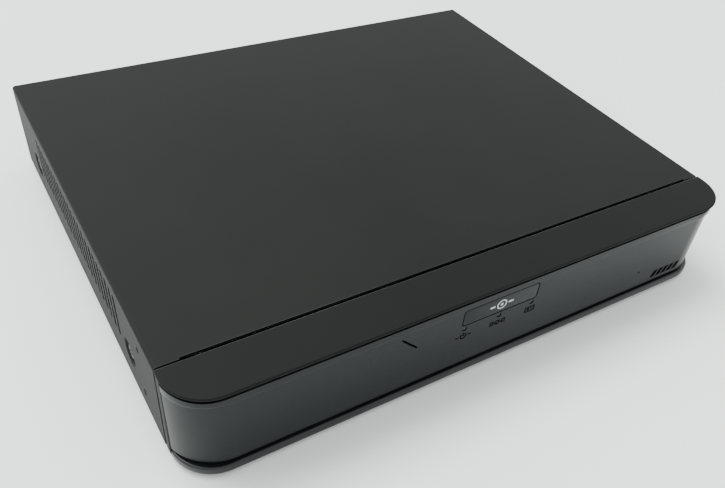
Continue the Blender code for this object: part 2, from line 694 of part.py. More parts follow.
def make_power_switch():
    x = SWITCH_X
    z = SWITCH_Z
    body = boxes("power_switch_body", black_plastic(),
                 ((x - 5.3, x + 5.3), (Y_PANEL + GAP, Y_PANEL + 2.1), (z - 7.6, z + 7.6)))
    inner = ((x - 4.4, x + 4.4), (Y_PANEL - 11, Y_PANEL + 1.0), (z - 6.7, z + 6.7))
    join(body, boxes("switch_barrel", None, inner))
    well = ((x - 3.5, x + 3.5), (Y_PANEL - 5.5, Y_PANEL + 4), (z - 6.2, z + 6.2))
    cut(body, boxes("switch_well", None, well))
    pivot = (x, Y_PANEL - 0.6, z)
    cut(body, drill("switch_pivot_holes", [pivot], 1.0, 4.1, (1, 0, 0), 10))

    outline = ((3.6, 5.6), (0.4, 5.7), (-3.2, 4.4), (-3.2, -4.4), (0.4, -5.7), (3.6, -5.6), (2.7, 0))
    turn = Matrix.Rotation(math.radians(-9), 2)
    ring = [turn @ Vector(point) for point in outline]
    levels = [[(a, p.x, p.y) for p in ring] for a in (-3.2, 3.2)]
    rocker = lofted("power_switch_rocker", material("switch_black_plastic", "222426", 0.4), levels)
    rocker.location = Vector(pivot) * MM
    pins = drill("rocker_pins", [pivot], 0.7, 3.8, (1, 0, 0), 10)
    join(rocker, pins)


# ---------------------------------------------------------------- inside


def make_main_board():
    x0, x1 = BOARD_X
    y0, y1 = BOARD_Y
    board = boxes("main_board", green_board(), ((x0, x1), (y0, y1), BOARD_Z))
    z = BOARD_Z[1] - 0.4
    parts = bmesh.new()
    for px, py, w, d, h in BOARD_PARTS:
        add_box(parts, (px - w / 2, px + w / 2), (py - d / 2, py + d / 2), (z, BOARD_Z[1] + h))
    join(board, object_from("board_parts", parts, None))
    spots = [(x, y, BOARD_Z[0]) for x, y in BOARD_HOLES]
    cut(board, drill("board_holes", spots, 1.8, 4, (0, 0, 1)))

    base = BOARD_Z[1] + 2.0 + GAP
    section = [(0, 0)]
    for k in range(7):
        left = 5.0 * k
        section += [(left, 3.0), (left, 14.0), (left + 2.0, 14.0), (left + 2.0, 3.0)]
    section = [section[0]] + section[2:-1] + [(32.0, 0)]
    levels = [[(-7.5 + a, b, base + c) for a, c in section] for b in (46.0, 78.0)]
    lofted("processor_heatsink", material("black_anodised_aluminium", "2B2D30", 0.4, 1.0), levels)
    chip = boxes("board_processor", None, ((-3, 20), (50.5, 73.5), (z, BOARD_Z[1] + 2.0)))
    join(board, chip)

    spot = (78, 66, PORT_Z)
    profile = ((10.4, 0), (11.6, 0), (11.6, 3.4), (10.4, 3.4))
    turned("coin_cell_holder", black_plastic(), profile, spot, (0, 0, 1), 20, True)
    profile = ((0, 0), (9.6, 0), (10.0, 0.4), (10.0, 3.0), (0, 3.0))
    turned("coin_cell", material("polished_steel_cell", "C6C8C9", 0.25, 1.0), profile, spot, (0, 0, 1), 20)
    profile = ((0, 0), (6.0, 0), (6.0, 7.5), (5.4, 8.0), (1.4, 8.0), (1.4, 6.5), (0, 6.5))
    turned("buzzer", black_plastic(), profile, (-100, 66, PORT_Z), (0, 0, 1))


def make_indicator_board():
    y = Y_FRONT + FASCIA_SET + 0.2 + 11.0 + GAP + 0.6
    board = boxes("indicator_board", green_board(), ((-34, 34), (y, y + 1.2), (21.5, 31.5)))
    lamps = bmesh.new()
    for _, x in PIPES:
        add_box(lamps, (x - 1.0, x + 1.0), (y - 0.6, y + 0.3), (PIPE_Z - 0.8, PIPE_Z + 0.8))
    join(board, object_from("indicator_lamps", lamps, None))
    centre = [(y + 1.9, 29.0), (y + 1.9, 25.0), (-88.0, 25.0), (-88.0, 5.2), (23.0, 5.2),
              (23.0, 13.0), (31.0, 13.0), (31.0, PORT_Z)]
    ring = thickened(centre, 0.7)
    levels = [[(x, p.x, p.y) for p in ring] for x in (-38.0, -31.0)]
    lofted("indicator_cable", material("grey_ribbon_cable", "8E9296", 0.6), levels)


def thickened(path, thickness):
    """Closed outline of a polyline given a thickness, with mitred corners."""
    points = [Vector(p) for p in path]
    left = []
    right = []
    for k, point in enumerate(points):
        before = (point - points[k - 1]).normalized() if k else None
        after = (points[k + 1] - point).normalized() if k + 1 < len(points) else None
        before = before or after
        after = after or before
        normal = (Vector((-before.y, before.x)) + Vector((-after.y, after.x))).normalized()
        reach = thickness / 2 / max(0.3, normal.dot(Vector((-before.y, before.x))))
        left.append(point + normal * reach)
        right.append(point - normal * reach)
    return left + list(reversed(right))


def make_drive():
    x0, x1, y0, y1 = DRIVE
    low, high = DRIVE_Z
    body = boxes("hard_drive_body", material("cast_drive_aluminium", "8D9093", 0.45, 1.0),
                 ((x0, x1), (y0, y1), (low, high - 2.2)))
    pocket = boxes("drive_board_pocket", None, ((x0 - 1, x0 + 96), (y0 + 8, y1 - 8), (low - 1, low + 2.2)))
    cut(body, pocket)
    mouth = boxes("drive_socket_pocket", None, ((x0 - 1, x0 + 6), (y0 + 28, y0 + 74), (low + 1, low + 8)))
    cut(body, mouth)
    spots = [(x, y, low) for x, y in DRIVE_HOLES]
    cut(body, drill("drive_screw_holes", spots, 2.0, 5, (0, 0, 1)))
    lid = boxes("hard_drive_lid", material("stainless_drive_lid", "A9ACAE", 0.3, 1.0),
                ((x0 + 1.5, x1 - 1.5), (y0 + 1.5, y1 - 1.5), (high - 2.2 + GAP, high)))
    ease = lid.modifiers.new("eased_edge", "BEVEL")
    ease.width = 0.5 * MM
    ease.segments = 1
    ease.limit_method = "ANGLE"
    sheet = ((x0 + 0.5, x0 + 94), (y0 + 9, y1 - 9), (low + 0.3, low + 1.5))
    board = boxes("hard_drive_board", green_board(), sheet)
    socket = boxes("drive_socket", None, ((x0 + 0.8, x0 + 5.5), (y0 + 30, y0 + 72), (low + 1.2, low + 6.5)))
    join(board, socket)


def flat_lead(name, skin, path, thickness, z, ends):
    """A lead standing on its edge, with a plug housing at each end."""
    ring = thickened(path, thickness)
    lead = lofted(name, skin, [[(p.x, p.y, h) for p in ring] for h in z])
    plugs = bmesh.new()
    for span in ends:
        add_box(plugs, *span)
    join(lead, object_from(name + "_plugs", plugs, None))


def make_leads():
    x = DRIVE[0] - GAP
    y = DRIVE[2]
    low = DRIVE_Z[0]
    red = material("red_data_lead", "8E2320", 0.5)
    dark = material("black_power_lead", "202123", 0.55)
    data_plug = ((x - 13, x), (y + 54, y + 71), (low + 1.4, low + 6.6))
    data_end = ((-68, -56), (33, 39), (PORT_Z, PORT_Z + 9))
    flat_lead("drive_data_lead", red, [(x - 10, y + 62), (-62, y + 62), (-62, 34)], 1.4,
              (low + 4.2, low + 6.4), (data_plug, data_end))
    power_plug = ((x - 13, x), (y + 31, y + 52), (low + 1.4, low + 6.6))
    power_end = ((-88, -72), (33, 39), (PORT_Z, PORT_Z + 9))
    flat_lead("drive_power_lead", dark, [(x - 10, y + 41), (-80, y + 41), (-80, 34)], 2.4,
              (low + 4.2, low + 6.4), (power_plug, power_end))


def main():
    clear_scene()
    make_cover()
    make_chassis()
    make_front()
    make_fascia()
    make_badge()
    make_light_pipes()
    make_feet()
    make_screws()
    make_jacks()
    make_audio_jacks()
    make_analogue_video_port()
    make_digital_video_port()
    make_data_ports()
    make_network_port()
    make_terminal()
    make_dc_inlet()
    make_power_switch()
    make_main_board()
    make_indicator_board()
    make_drive()
    make_leads()


main()
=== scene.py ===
import math

import bmesh
import bpy
from mathutils import Matrix, Vector


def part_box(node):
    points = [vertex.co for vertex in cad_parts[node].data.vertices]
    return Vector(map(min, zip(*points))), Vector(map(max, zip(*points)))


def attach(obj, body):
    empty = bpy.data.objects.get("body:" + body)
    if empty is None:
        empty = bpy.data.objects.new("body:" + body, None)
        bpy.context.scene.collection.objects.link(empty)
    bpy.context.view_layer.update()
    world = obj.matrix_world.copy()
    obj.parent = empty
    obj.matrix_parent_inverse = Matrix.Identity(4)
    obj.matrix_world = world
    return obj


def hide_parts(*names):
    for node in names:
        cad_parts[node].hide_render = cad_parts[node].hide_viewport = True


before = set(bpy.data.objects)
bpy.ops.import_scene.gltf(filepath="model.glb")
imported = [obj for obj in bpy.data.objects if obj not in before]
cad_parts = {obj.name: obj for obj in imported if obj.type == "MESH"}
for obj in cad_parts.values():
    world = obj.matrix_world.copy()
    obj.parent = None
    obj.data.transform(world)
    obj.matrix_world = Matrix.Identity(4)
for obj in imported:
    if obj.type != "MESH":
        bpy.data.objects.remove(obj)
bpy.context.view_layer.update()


# ------------------------ camera
# Where a person stands who looks down at the recorder over its left front corner.
CAMERA_PLACE = (-0.1643, -0.2627, 0.2353)
CAMERA_TURN = (48.207, -5.110, -31.839)
LENS = 37.92
LENS_SHIFT = (-0.0414, 0.0411)


def new_object(name, data):
    """An object of the scene, at the origin."""
    made = bpy.data.objects.new(name, data)
    bpy.context.scene.collection.objects.link(made)
    return made


lens = bpy.data.cameras.new("camera")
lens.lens = LENS
lens.shift_x, lens.shift_y = LENS_SHIFT
lens.clip_start = 0.01
camera = new_object("camera", lens)
camera.location = CAMERA_PLACE
camera.rotation_euler = [math.radians(angle) for angle in CAMERA_TURN]
bpy.context.scene.camera = camera


# ------------------------ table and light
# A matt pale table top under a plain studio: strong even light from the pale walls, one broad
# soft lamp high behind the recorder and a weak one far off at its left.
TABLE_HALF = 3.0
TABLE_COLOURS = ("E8ECEA", "EDF0EE")
WALL_COLOUR = "E9ECEB"
WALL_LIGHT = 1.95
LAMP_COLOUR = "FBFFFD"
# Name, place and width in metres, and power in watts.
LAMPS = (("window_lamp", (-0.6, 1.4, 3.2), 1.8, 155.0), ("side_lamp", (-2.3, 1.5, 2.6), 2.0, 45.0))


def srgb(code):
    """The linear colour of a six-figure sRGB hex code, with full alpha."""
    values = [int(code[i:i + 2], 16) / 255 for i in (0, 2, 4)]
    return (*[v / 12.92 if v <= 0.04045 else ((v + 0.055) / 1.055) ** 2.4 for v in values], 1.0)


def add_node(tree, kind, values=None, links=None, **settings):
    """Adds one node, with its settings, the values of its sockets and the sockets that feed it."""
    node = tree.nodes.new(kind)
    for name, value in settings.items():
        setattr(node, name, value)
    for socket, value in (values or {}).items():
        node.inputs[socket].default_value = value
    for socket, source in (links or {}).items():
        tree.links.new(source, node.inputs[socket])
    return node


def new_finish(name, **values):
    """A material named for its real finish, with the shader's even values. Gives it, its tree and shader."""
    made = bpy.data.materials.new(name)
    made.use_nodes = True
    shader = made.node_tree.nodes["Principled BSDF"]
    for socket, value in values.items():
        shader.inputs[socket.replace("_", " ")].default_value = value
    return made, made.node_tree, shader


def grained(name, colours, roughness, grain, bump, clouds=45.0, wear_and_highlight=None, **values):
    """A coated, moulded or plated finish: broad clouds between two near colours, a gloss that varies over the
    same clouds, and a fine grain. Sizes are in millimetres. Where an edge colour and width are given, the
    edges are painted lighter in that colour and made smoother, partly as rubbed wear and partly as a painted
    highlight."""
    made, tree, shader = new_finish(name, **values)
    where = add_node(tree, "ShaderNodeTexCoord").outputs["Object"]
    broad = add_node(tree, "ShaderNodeTexNoise", {"Scale": 1000 / clouds, "Detail": 4.0}, {"Vector": where})
    fine = add_node(tree, "ShaderNodeTexNoise", {"Scale": 1000 / grain, "Detail": 2.0}, {"Vector": where})
    cover = add_node(tree, "ShaderNodeMapRange", {"From Min": 0.35, "From Max": 0.65},
                     {"Value": broad.outputs["Fac"]})
    colour = add_node(tree, "ShaderNodeMix", {"A": srgb(colours[0]), "B": srgb(colours[1])},
                      {"Factor": cover.outputs["Result"]}, data_type="RGBA")
    colour_out = colour.outputs[2]
    gloss = add_node(tree, "ShaderNodeMath", {1: 0.5}, {0: broad.outputs["Fac"], 1: fine.outputs["Fac"]},
                     operation="MULTIPLY_ADD")
    gloss.inputs[2].default_value = 0.15
    rough = add_node(tree, "ShaderNodeMapRange",
                     {"From Min": 0.2, "From Max": 0.6, "To Min": roughness[0], "To Max": roughness[1]},
                     {"Value": gloss.outputs["Value"]})
    rough_out = rough.outputs["Result"]
    if wear_and_highlight:
        rounded = add_node(tree, "ShaderNodeBevel", {"Radius": wear_and_highlight[1] / 1000}, samples=4)
        flat = add_node(tree, "ShaderNodeNewGeometry")
        turn = add_node(tree, "ShaderNodeVectorMath", None,
                        {0: rounded.outputs["Normal"], 1: flat.outputs["Normal"]}, operation="DOT_PRODUCT")
        edge = add_node(tree, "ShaderNodeMapRange", {"From Min": 0.99, "From Max": 0.8},
                        {"Value": turn.outputs["Value"]})
        patchy = add_node(tree, "ShaderNodeMath", None,
                          {0: edge.outputs["Result"], 1: broad.outputs["Fac"]}, operation="MULTIPLY")
        # Lighter edges: rubbed wear and a painted highlight.
        worn_and_highlit = add_node(tree, "ShaderNodeMix", {"B": srgb(wear_and_highlight[0])},
                        {"Factor": patchy.outputs["Value"], "A": colour_out}, data_type="RGBA")
        colour_out = worn_and_highlit.outputs[2]
        rubbed = add_node(tree, "ShaderNodeMix", {"B": roughness[0] * 0.6},
                          {"Factor": edge.outputs["Result"], "A": rough_out}, data_type="FLOAT")
        rough_out = rubbed.outputs[0]
    tree.links.new(colour_out, shader.inputs["Base Color"])
    tree.links.new(rough_out, shader.inputs["Roughness"])
    ripple = add_node(tree, "ShaderNodeBump", {"Strength": 0.5, "Distance": bump / 1000},
                      {"Height": fine.outputs["Fac"]})
    tree.links.new(ripple.outputs["Normal"], shader.inputs["Normal"])
    return made


# Melamine-faced board, pressed: matt and even, with a faint cloudiness.
table_top = grained("matt_melamine", TABLE_COLOURS, (0.55, 0.7), 1.5, 0.01, clouds=300.0)
table_mesh = bpy.data.meshes.new("table")
corners = [(-TABLE_HALF, -TABLE_HALF, 0), (TABLE_HALF, -TABLE_HALF, 0),
           (TABLE_HALF, TABLE_HALF, 0), (-TABLE_HALF, TABLE_HALF, 0)]
table_mesh.from_pydata(corners, [], [(0, 1, 2, 3)])
table_mesh.materials.append(table_top)
table = new_object("table", table_mesh)

walls = bpy.data.worlds.new("pale_walls")
walls.use_nodes = True
sky = walls.node_tree.nodes["Background"]
sky.inputs["Color"].default_value = srgb(WALL_COLOUR)
sky.inputs["Strength"].default_value = WALL_LIGHT
bpy.context.scene.world = walls

for name, spot, size, power in LAMPS:
    lamp = bpy.data.lights.new(name, "AREA")
    lamp.size = size
    lamp.energy = power
    lamp.color = srgb(LAMP_COLOUR)[:3]
    holder = new_object(name, lamp)
    holder.location = spot
    holder.rotation_euler = (-Vector(spot)).to_track_quat("-Z", "Y").to_euler()


# ------------------------ tray
# The base: one mild-steel sheet folded up at the sides and the back, punched for the sockets,
# then powder coated with the cover. Its rear panel is the face that shows.
def finish_nodes(made, *names):
    """Gives CAD nodes of the right shape their finish."""
    for name in names:
        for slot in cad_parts[name].material_slots:
            slot.material = made


# Powder coat baked on steel: near-black, with a fine leathery grain that blurs what it mirrors, greyer along
# its edges, partly from rubbing and partly as a painted highlight. The real grain is 0.3 mm; it is drawn at
# 0.7 mm so that it shows. A few pale specks of dust, up to 1 mm across, lie on it.
DUST_SPACING = 26.0
DUST_SHARE = 0.3
coat = grained("black_powder_coat", ("0E0F0E", "131413"), (0.56, 0.66), 0.7, 0.03, clouds=60.0,
               wear_and_highlight=("4A4D4E", 0.4), Specular_IOR_Level=0.12)
tree = coat.node_tree
shader = tree.nodes["Principled BSDF"]
spots = add_node(tree, "ShaderNodeTexVoronoi", {"Scale": 1000 / DUST_SPACING},
                 {"Vector": add_node(tree, "ShaderNodeTexCoord").outputs["Object"]})
speck = add_node(tree, "ShaderNodeMapRange", {"From Min": 0.022, "From Max": 0.014},
                 {"Value": spots.outputs["Distance"]})
chosen = add_node(tree, "ShaderNodeMath", {1: DUST_SHARE}, {0: spots.outputs["Color"]}, operation="LESS_THAN")
speck = add_node(tree, "ShaderNodeMath", None, {0: speck.outputs["Result"], 1: chosen.outputs["Value"]},
                 operation="MULTIPLY")
dusty = add_node(tree, "ShaderNodeMix", {"B": srgb("5E6261")},
                 {"Factor": speck.outputs["Value"], "A": shader.inputs["Base Color"].links[0].from_socket},
                 data_type="RGBA")
tree.links.new(dusty.outputs[2], shader.inputs["Base Color"])
finish_nodes(coat, "base_chassis")


# ------------------------ feet
# Four moulded rubber feet pressed into the tray floor: a shallow cone with a rounded foot ring
# and a dished middle.
MM = 0.001


def node_box(name):
    """The lowest and highest corner of a CAD node, in millimetres."""
    low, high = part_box(name)
    return low / MM, high / MM


def node_middle(name):
    low, high = node_box(name)
    return (low + high) / 2


def turn_shape(bm, profile, segments, centre=(0, 0, 0), axis=(0, 0, 1), closed=False):
    """A turned solid from (radius, height) pairs along axis; closed joins the last pair to the first."""
    aim = Vector((0, 0, 1)).rotation_difference(Vector(axis)).to_matrix()
    rings = []
    for radius, height in profile:
        count = segments if radius else 1
        ring = []
        for k in range(count):
            angle = 2 * math.pi * k / segments
            ring.append(bm.verts.new(Vector(centre) + aim @ Vector(
                (radius * math.cos(angle), radius * math.sin(angle), height))))
        rings.append(ring)
    pairs = list(zip(rings, rings[1:]))
    if closed:
        pairs.append((rings[-1], rings[0]))
    for low, high in pairs:
        for k in range(segments):
            n = (k + 1) % segments
            corner = [low[k % len(low)], low[n % len(low)], high[n % len(high)], high[k % len(high)]]
            bm.faces.new(list(dict.fromkeys(corner)))


def make_piece(name, bm, finish, sharp=35.0):
    """A piece from a closed mesh in millimetres, shaded smooth over edges blunter than sharp."""
    bmesh.ops.recalc_face_normals(bm, faces=bm.faces)
    bmesh.ops.scale(bm, vec=(MM, MM, MM), verts=bm.verts)
    mesh = bpy.data.meshes.new(name)
    bm.to_mesh(mesh)
    bm.free()
    mesh.materials.append(finish)
    for face in mesh.polygons:
        face.use_smooth = True
    mesh.set_sharp_from_angle(angle=math.radians(sharp))
    return new_object(name, mesh)


def settle(piece):
    """Puts what the piece's modifiers make in its mesh, and removes them."""
    graph = bpy.context.evaluated_depsgraph_get()
    piece.data = bpy.data.meshes.new_from_object(piece.evaluated_get(graph), depsgraph=graph)
    piece.data.name = piece.name
    piece.modifiers.clear()


def repeat(name, shape, spots, finish, spin=0.0, seed=1):
    """Geometry Nodes: a copy of shape at every spot, its Z towards the spot's facing, at its size.

    spots holds (point in millimetres, facing, size). spin is how far a copy may turn about its
    axis, in degrees. The result is one plain mesh, and shape is used up."""
    mesh = bpy.data.meshes.new(name + "_spots")
    mesh.from_pydata([Vector(point) * MM for point, _, _ in spots], [], [])
    mesh.attributes.new("facing", "FLOAT_VECTOR", "POINT")
    mesh.attributes.new("size", "FLOAT", "POINT")
    for k, (_, direction, scale) in enumerate(spots):
        mesh.attributes["facing"].data[k].vector = direction
        mesh.attributes["size"].data[k].value = scale
    piece = new_object(name, mesh)

    tree = bpy.data.node_groups.new(name, "GeometryNodeTree")
    ends = tree.interface
    ends.new_socket("Spots", in_out="INPUT", socket_type="NodeSocketGeometry")
    shape_in = ends.new_socket("Shape", in_out="INPUT", socket_type="NodeSocketObject")
    spin_in = ends.new_socket("Spin", in_out="INPUT", socket_type="NodeSocketFloat")
    seed_in = ends.new_socket("Seed", in_out="INPUT", socket_type="NodeSocketInt")
    finish_in = ends.new_socket("Finish", in_out="INPUT", socket_type="NodeSocketMaterial")
    ends.new_socket("Pieces", in_out="OUTPUT", socket_type="NodeSocketGeometry")
    given = add_node(tree, "NodeGroupInput").outputs
    one = add_node(tree, "GeometryNodeObjectInfo", None, {"Object": given["Shape"]})
    way = add_node(tree, "GeometryNodeInputNamedAttribute", {"Name": "facing"}, data_type="FLOAT_VECTOR")
    scale = add_node(tree, "GeometryNodeInputNamedAttribute", {"Name": "size"}, data_type="FLOAT")
    aimed = add_node(tree, "FunctionNodeAlignRotationToVector", None,
                     {"Vector": way.outputs["Attribute"]}, axis="Z")
    chance = add_node(tree, "FunctionNodeRandomValue", None,
                      {"Max": given["Spin"], "Seed": given["Seed"]}, data_type="FLOAT")
    about = add_node(tree, "ShaderNodeCombineXYZ", None, {"Z": chance.outputs[1]})
    turned = add_node(tree, "FunctionNodeRotateRotation", None,
                      {"Rotation": aimed.outputs["Rotation"], "Rotate By": about.outputs["Vector"]},
                      rotation_space="LOCAL")
    copies = add_node(tree, "GeometryNodeInstanceOnPoints", None,
                      {"Points": given["Spots"], "Instance": one.outputs["Geometry"],
                       "Rotation": turned.outputs["Rotation"], "Scale": scale.outputs["Attribute"]})
    real = add_node(tree, "GeometryNodeRealizeInstances", None, {"Geometry": copies.outputs["Instances"]})
    dressed = add_node(tree, "GeometryNodeSetMaterial", None,
                       {"Geometry": real.outputs["Geometry"], "Material": given["Finish"]})
    add_node(tree, "NodeGroupOutput", None, {"Pieces": dressed.outputs["Geometry"]})

    step = piece.modifiers.new(name, "NODES")
    step.node_group = tree
    step[shape_in.identifier] = shape
    step[spin_in.identifier] = math.radians(spin)
    step[seed_in.identifier] = seed
    step[finish_in.identifier] = finish
    settle(piece)
    bpy.data.objects.remove(shape)
    return piece


def place(piece, slot, *nodes, body="recorder"):
    """Attaches the piece to its body and hides the CAD nodes that it stands for; slot is not used."""
    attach(piece, body)
    if nodes:
        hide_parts(*nodes)


# Moulded nitrile rubber: nearly black, matt, with a soft powdery bloom.
rubber = grained("black_rubber", ("141515", "1B1C1C"), (0.75, 0.9), 0.6, 0.03, clouds=8.0)
FEET = ["foot_front_left", "foot_front_right", "foot_rear_left", "foot_rear_right"]
FOOT_PROFILE = ((0, 0.5), (4.2, 0.5), (5.0, 0.12), (5.5, 0), (6.6, 0), (7.1, 0.2), (7.4, 0.6),
                (7.9, 2.5), (7.8, 2.8), (7.5, 2.9), (0, 2.9))
bm = bmesh.new()
turn_shape(bm, FOOT_PROFILE, 40)
foot = make_piece("foot", bm, rubber)
spots = [((*node_middle(name).xy, 0), (0, 0, 1), 1.0) for name in FEET]
place(repeat("rubber_feet", foot, spots, rubber), "black_rubber", *FEET)


# ------------------------ main board and its parts
# A glass-epoxy board on four pillars, with the processor under a finned heatsink, memory, power
# coils, a coin cell and a buzzer. It shows only through the vents.

# Solder mask over glass weave, cured: green, in clouds a shade lighter where copper lies under it.
mask = grained("green_solder_mask", ("174427", "1F5A35"), (0.3, 0.42), 0.8, 0.03, clouds=6.0)
finish_nodes(mask, "main_board", "indicator_board", "hard_drive_board")

# Black anodised aluminium, extruded: satin and slightly mottled.
anodised = grained("black_anodised_aluminium", ("1A1B1D", "26282B"), (0.32, 0.45), 0.5, 0.02,
                   Metallic=1.0)
finish_nodes(anodised, "processor_heatsink")

# Moulded nylon: dull black with a soft uneven gloss.
nylon = grained("moulded_black_plastic", ("121314", "1A1B1C"), (0.42, 0.56), 0.5, 0.03, clouds=15.0)
finish_nodes(nylon, "jack_housing_left", "jack_housing_right", "coin_cell_holder", "buzzer", "dc_inlet")

# Pressed steel can, polished: bright, with fine handling marks.
steel_can = grained("polished_steel_cell", ("B4B6B7", "C6C8C9"), (0.14, 0.28), 1.0, 0.01, Metallic=1.0)
finish_nodes(steel_can, "coin_cell")


# ------------------------ hard drive and leads
# A 3.5-inch drive screwed to the tray floor: a cast body, a pressed steel lid and its own board,
# with a flat data lead, a power lead and the ribbon of the front lights.

# Die-cast aluminium: grey, slightly sparkling and uneven.
cast = grained("cast_drive_aluminium", ("7C7F82", "8D9093"), (0.38, 0.55), 0.8, 0.06, clouds=12.0,
               Metallic=1.0)
finish_nodes(cast, "hard_drive_body")

# Stainless sheet, pressed: grey, with a fine even grain.
lid_steel = grained("stainless_drive_lid", ("9C9FA1", "A9ACAE"), (0.22, 0.36), 1.2, 0.02, clouds=20.0,
                    Metallic=1.0)
finish_nodes(lid_steel, "hard_drive_lid")

# Flexible vinyl, extruded: waxy, slightly uneven in tone.
for name, node, colours in (("red_data_lead", "drive_data_lead", ("7A1D1B", "8E2320")),
                            ("black_power_lead", "drive_power_lead", ("1A1B1C", "222325")),
                            ("grey_ribbon_cable", "indicator_cable", ("838789", "8E9296"))):
    finish_nodes(grained(name, colours, (0.45, 0.6), 0.8, 0.03, clouds=10.0), node)


# ------------------------ video and audio sockets
# Eight bayonet jacks in two rows and two phono jacks: turned brass shells plated with nickel, a
# white insulator inside each and a small split contact in its middle.

# Bright nickel plate: warm grey, smooth, with faint smears.
nickel = grained("nickel_plate", ("A9A69E", "B9B7B0"), (0.16, 0.3), 0.6, 0.008, clouds=6.0, Metallic=1.0)
# Fluoropolymer insulator: milky white and waxy.
insulator = grained("white_insulator", ("D9D8D2", "E4E3DE"), (0.4, 0.5), 0.5, 0.01, clouds=4.0)
# Hard gold flash over nickel on the contacts: pale yellow.
gold = grained("gold_flash", ("B08A3E", "C79F52"), (0.2, 0.32), 0.4, 0.005, clouds=3.0, Metallic=1.0)

JACKS = ["video_jack_%d" % k for k in range(1, 9)]
SHELL_PROFILE = ((4.1, -0.25), (4.35, 0), (4.6, 0), (4.8, -0.25), (4.8, -9.7), (5.0, -10.0), (5.9, -10.2),
                 (6.2, -10.5), (6.2, -12.9), (2.3, -12.9), (2.3, -7.7), (4.1, -7.7))
INSULATOR_PROFILE = ((0.85, -1.9), (1.0, -1.75), (2.0, -1.75), (2.2, -1.95), (2.2, -7.9), (0.85, -7.9))
CONTACT_PROFILE = ((0.35, -2.1), (0.45, -2.0), (0.65, -2.0), (0.75, -2.1), (0.75, -7.8), (0.35, -7.8))
LUG_PROFILE = ((0, 4.5), (0.95, 4.5), (0.95, 5.5), (0.75, 5.7), (0, 5.7))


def socket_spots(names):
    """The middle of each socket's outer end, facing backwards."""
    found = []
    for name in names:
        middle = node_middle(name)
        found.append(((middle.x, node_box(name)[1].y, middle.z), (0, 1, 0), 1.0))
    return found


bm = bmesh.new()
turn_shape(bm, SHELL_PROFILE, 40, closed=True)
for side in (-1, 1):
    turn_shape(bm, LUG_PROFILE, 14, (0, 0, -4.9), (side, 0, 0))
shell = make_piece("jack_shell", bm, nickel)
place(repeat("video_jack_shells", shell, socket_spots(JACKS), nickel), "nickel_plate", *JACKS)
bm = bmesh.new()
turn_shape(bm, INSULATOR_PROFILE, 28, closed=True)
sleeve = make_piece("insulator", bm, insulator)
place(repeat("video_jack_insulators", sleeve, socket_spots(JACKS), insulator), "nickel_plate")
bm = bmesh.new()
turn_shape(bm, CONTACT_PROFILE, 16, closed=True)
contact = make_piece("contact", bm, gold)
place(repeat("video_jack_contacts", contact, socket_spots(JACKS), gold), "nickel_plate")

finish_nodes(nickel, "audio_jack_in", "audio_jack_out", "analogue_video_port", "digital_video_port",
             "data_port_stack", "network_port")
# Green nylon of the screw terminal: bright and smooth.
finish_nodes(grained("green_terminal_plastic", ("287A41", "2E8B4A"), (0.35, 0.5), 0.5, 0.02, clouds=6.0),
             "control_terminal")


# ------------------------ socket linings
# What is set inside the sockets: the blue face of the analogue socket with its fifteen holes, the
# tongues and their contacts, the network socket's wires and lights, and the pin of the inlet.
REAR = node_box("network_port")[1].y - 0.3
PORT_FOOT = node_box("data_port_stack")[0].z
LINING_Z = PORT_FOOT + 7.0
LINING_FACE = ((-7.4, 2.1), (-6.2, 3.3), (6.2, 3.3), (7.4, 2.1), (6.4, -2.4), (5.3, -3.3), (-5.3, -3.3),
               (-6.4, -2.4))
HOLE_RADIUS = 0.55
HOLE_PITCH = 2.3
# Height and sideways shift of each row of five holes.
HOLE_ROWS = ((1.95, -0.5), (0.0, 0.65), (-1.95, -0.5))

# Glass-filled nylon, moulded: flat colours, faintly mottled.
LINING_GLOSS = (0.4, 0.52)
blue_lining = grained("blue_nylon_lining", ("1B3F7E", "20488C"), LINING_GLOSS, 0.5, 0.02, clouds=5.0)
pale_lining = grained("white_nylon_lining", ("C9C8C2", "D5D4CF"), LINING_GLOSS, 0.5, 0.02, clouds=5.0)
black_lining = grained("black_nylon_lining", ("121314", "191A1B"), LINING_GLOSS, 0.5, 0.02, clouds=5.0)


def add_levels(bm, rings, hollow=False):
    """A solid through rings of as many points each: closed by its end rings, or, where it is
    hollow, by its last ring meeting its first."""
    made = [[bm.verts.new(point) for point in ring] for ring in rings]
    pairs = list(zip(made, made[1:]))
    if hollow:
        pairs.append((made[-1], made[0]))
    else:
        bm.faces.new(list(reversed(made[0])))
        bm.faces.new(made[-1])
    for low, high in pairs:
        for k in range(len(low)):
            n = (k + 1) % len(low)
            bm.faces.new((low[k], low[n], high[n], high[k]))


def add_block(bm, x, y, z, ease=0.0):
    """A block between the pairs x, y and z, its upright edges chamfered by ease."""
    plan = [(x[0] + ease, y[0]), (x[1] - ease, y[0]), (x[1], y[0] + ease), (x[1], y[1] - ease),
            (x[1] - ease, y[1]), (x[0] + ease, y[1]), (x[0], y[1] - ease), (x[0], y[0] + ease)]
    plan = list(dict.fromkeys(plan))
    add_levels(bm, [[(a, b, height) for a, b in plan] for height in z])


def combine(piece, shape, operation):
    """Joins a shape to the piece, or cuts it out of it, and uses the shape up."""
    step = piece.modifiers.new(shape.name, "BOOLEAN")
    step.operation = operation
    step.object = shape
    settle(piece)
    bpy.data.objects.remove(shape)


def add_in_socket(bm, node, x, depth, z, ease=0.0):
    """A block in a socket: across from its middle, inwards from the rear face, up from its foot."""
    middle, foot = node_middle(node).x, node_box(node)[0].z
    add_block(bm, (middle + x[0], middle + x[1]), (REAR - depth[0], REAR - depth[1]),
              (foot + z[0], foot + z[1]), ease)


def lining_plate(bm, near, far):
    """The D-shaped plate of the analogue socket, between two distances behind the rear face."""
    add_levels(bm, [[(middle + a, REAR + depth, LINING_Z + b) for a, b in LINING_FACE]
                    for depth in (near, far)])


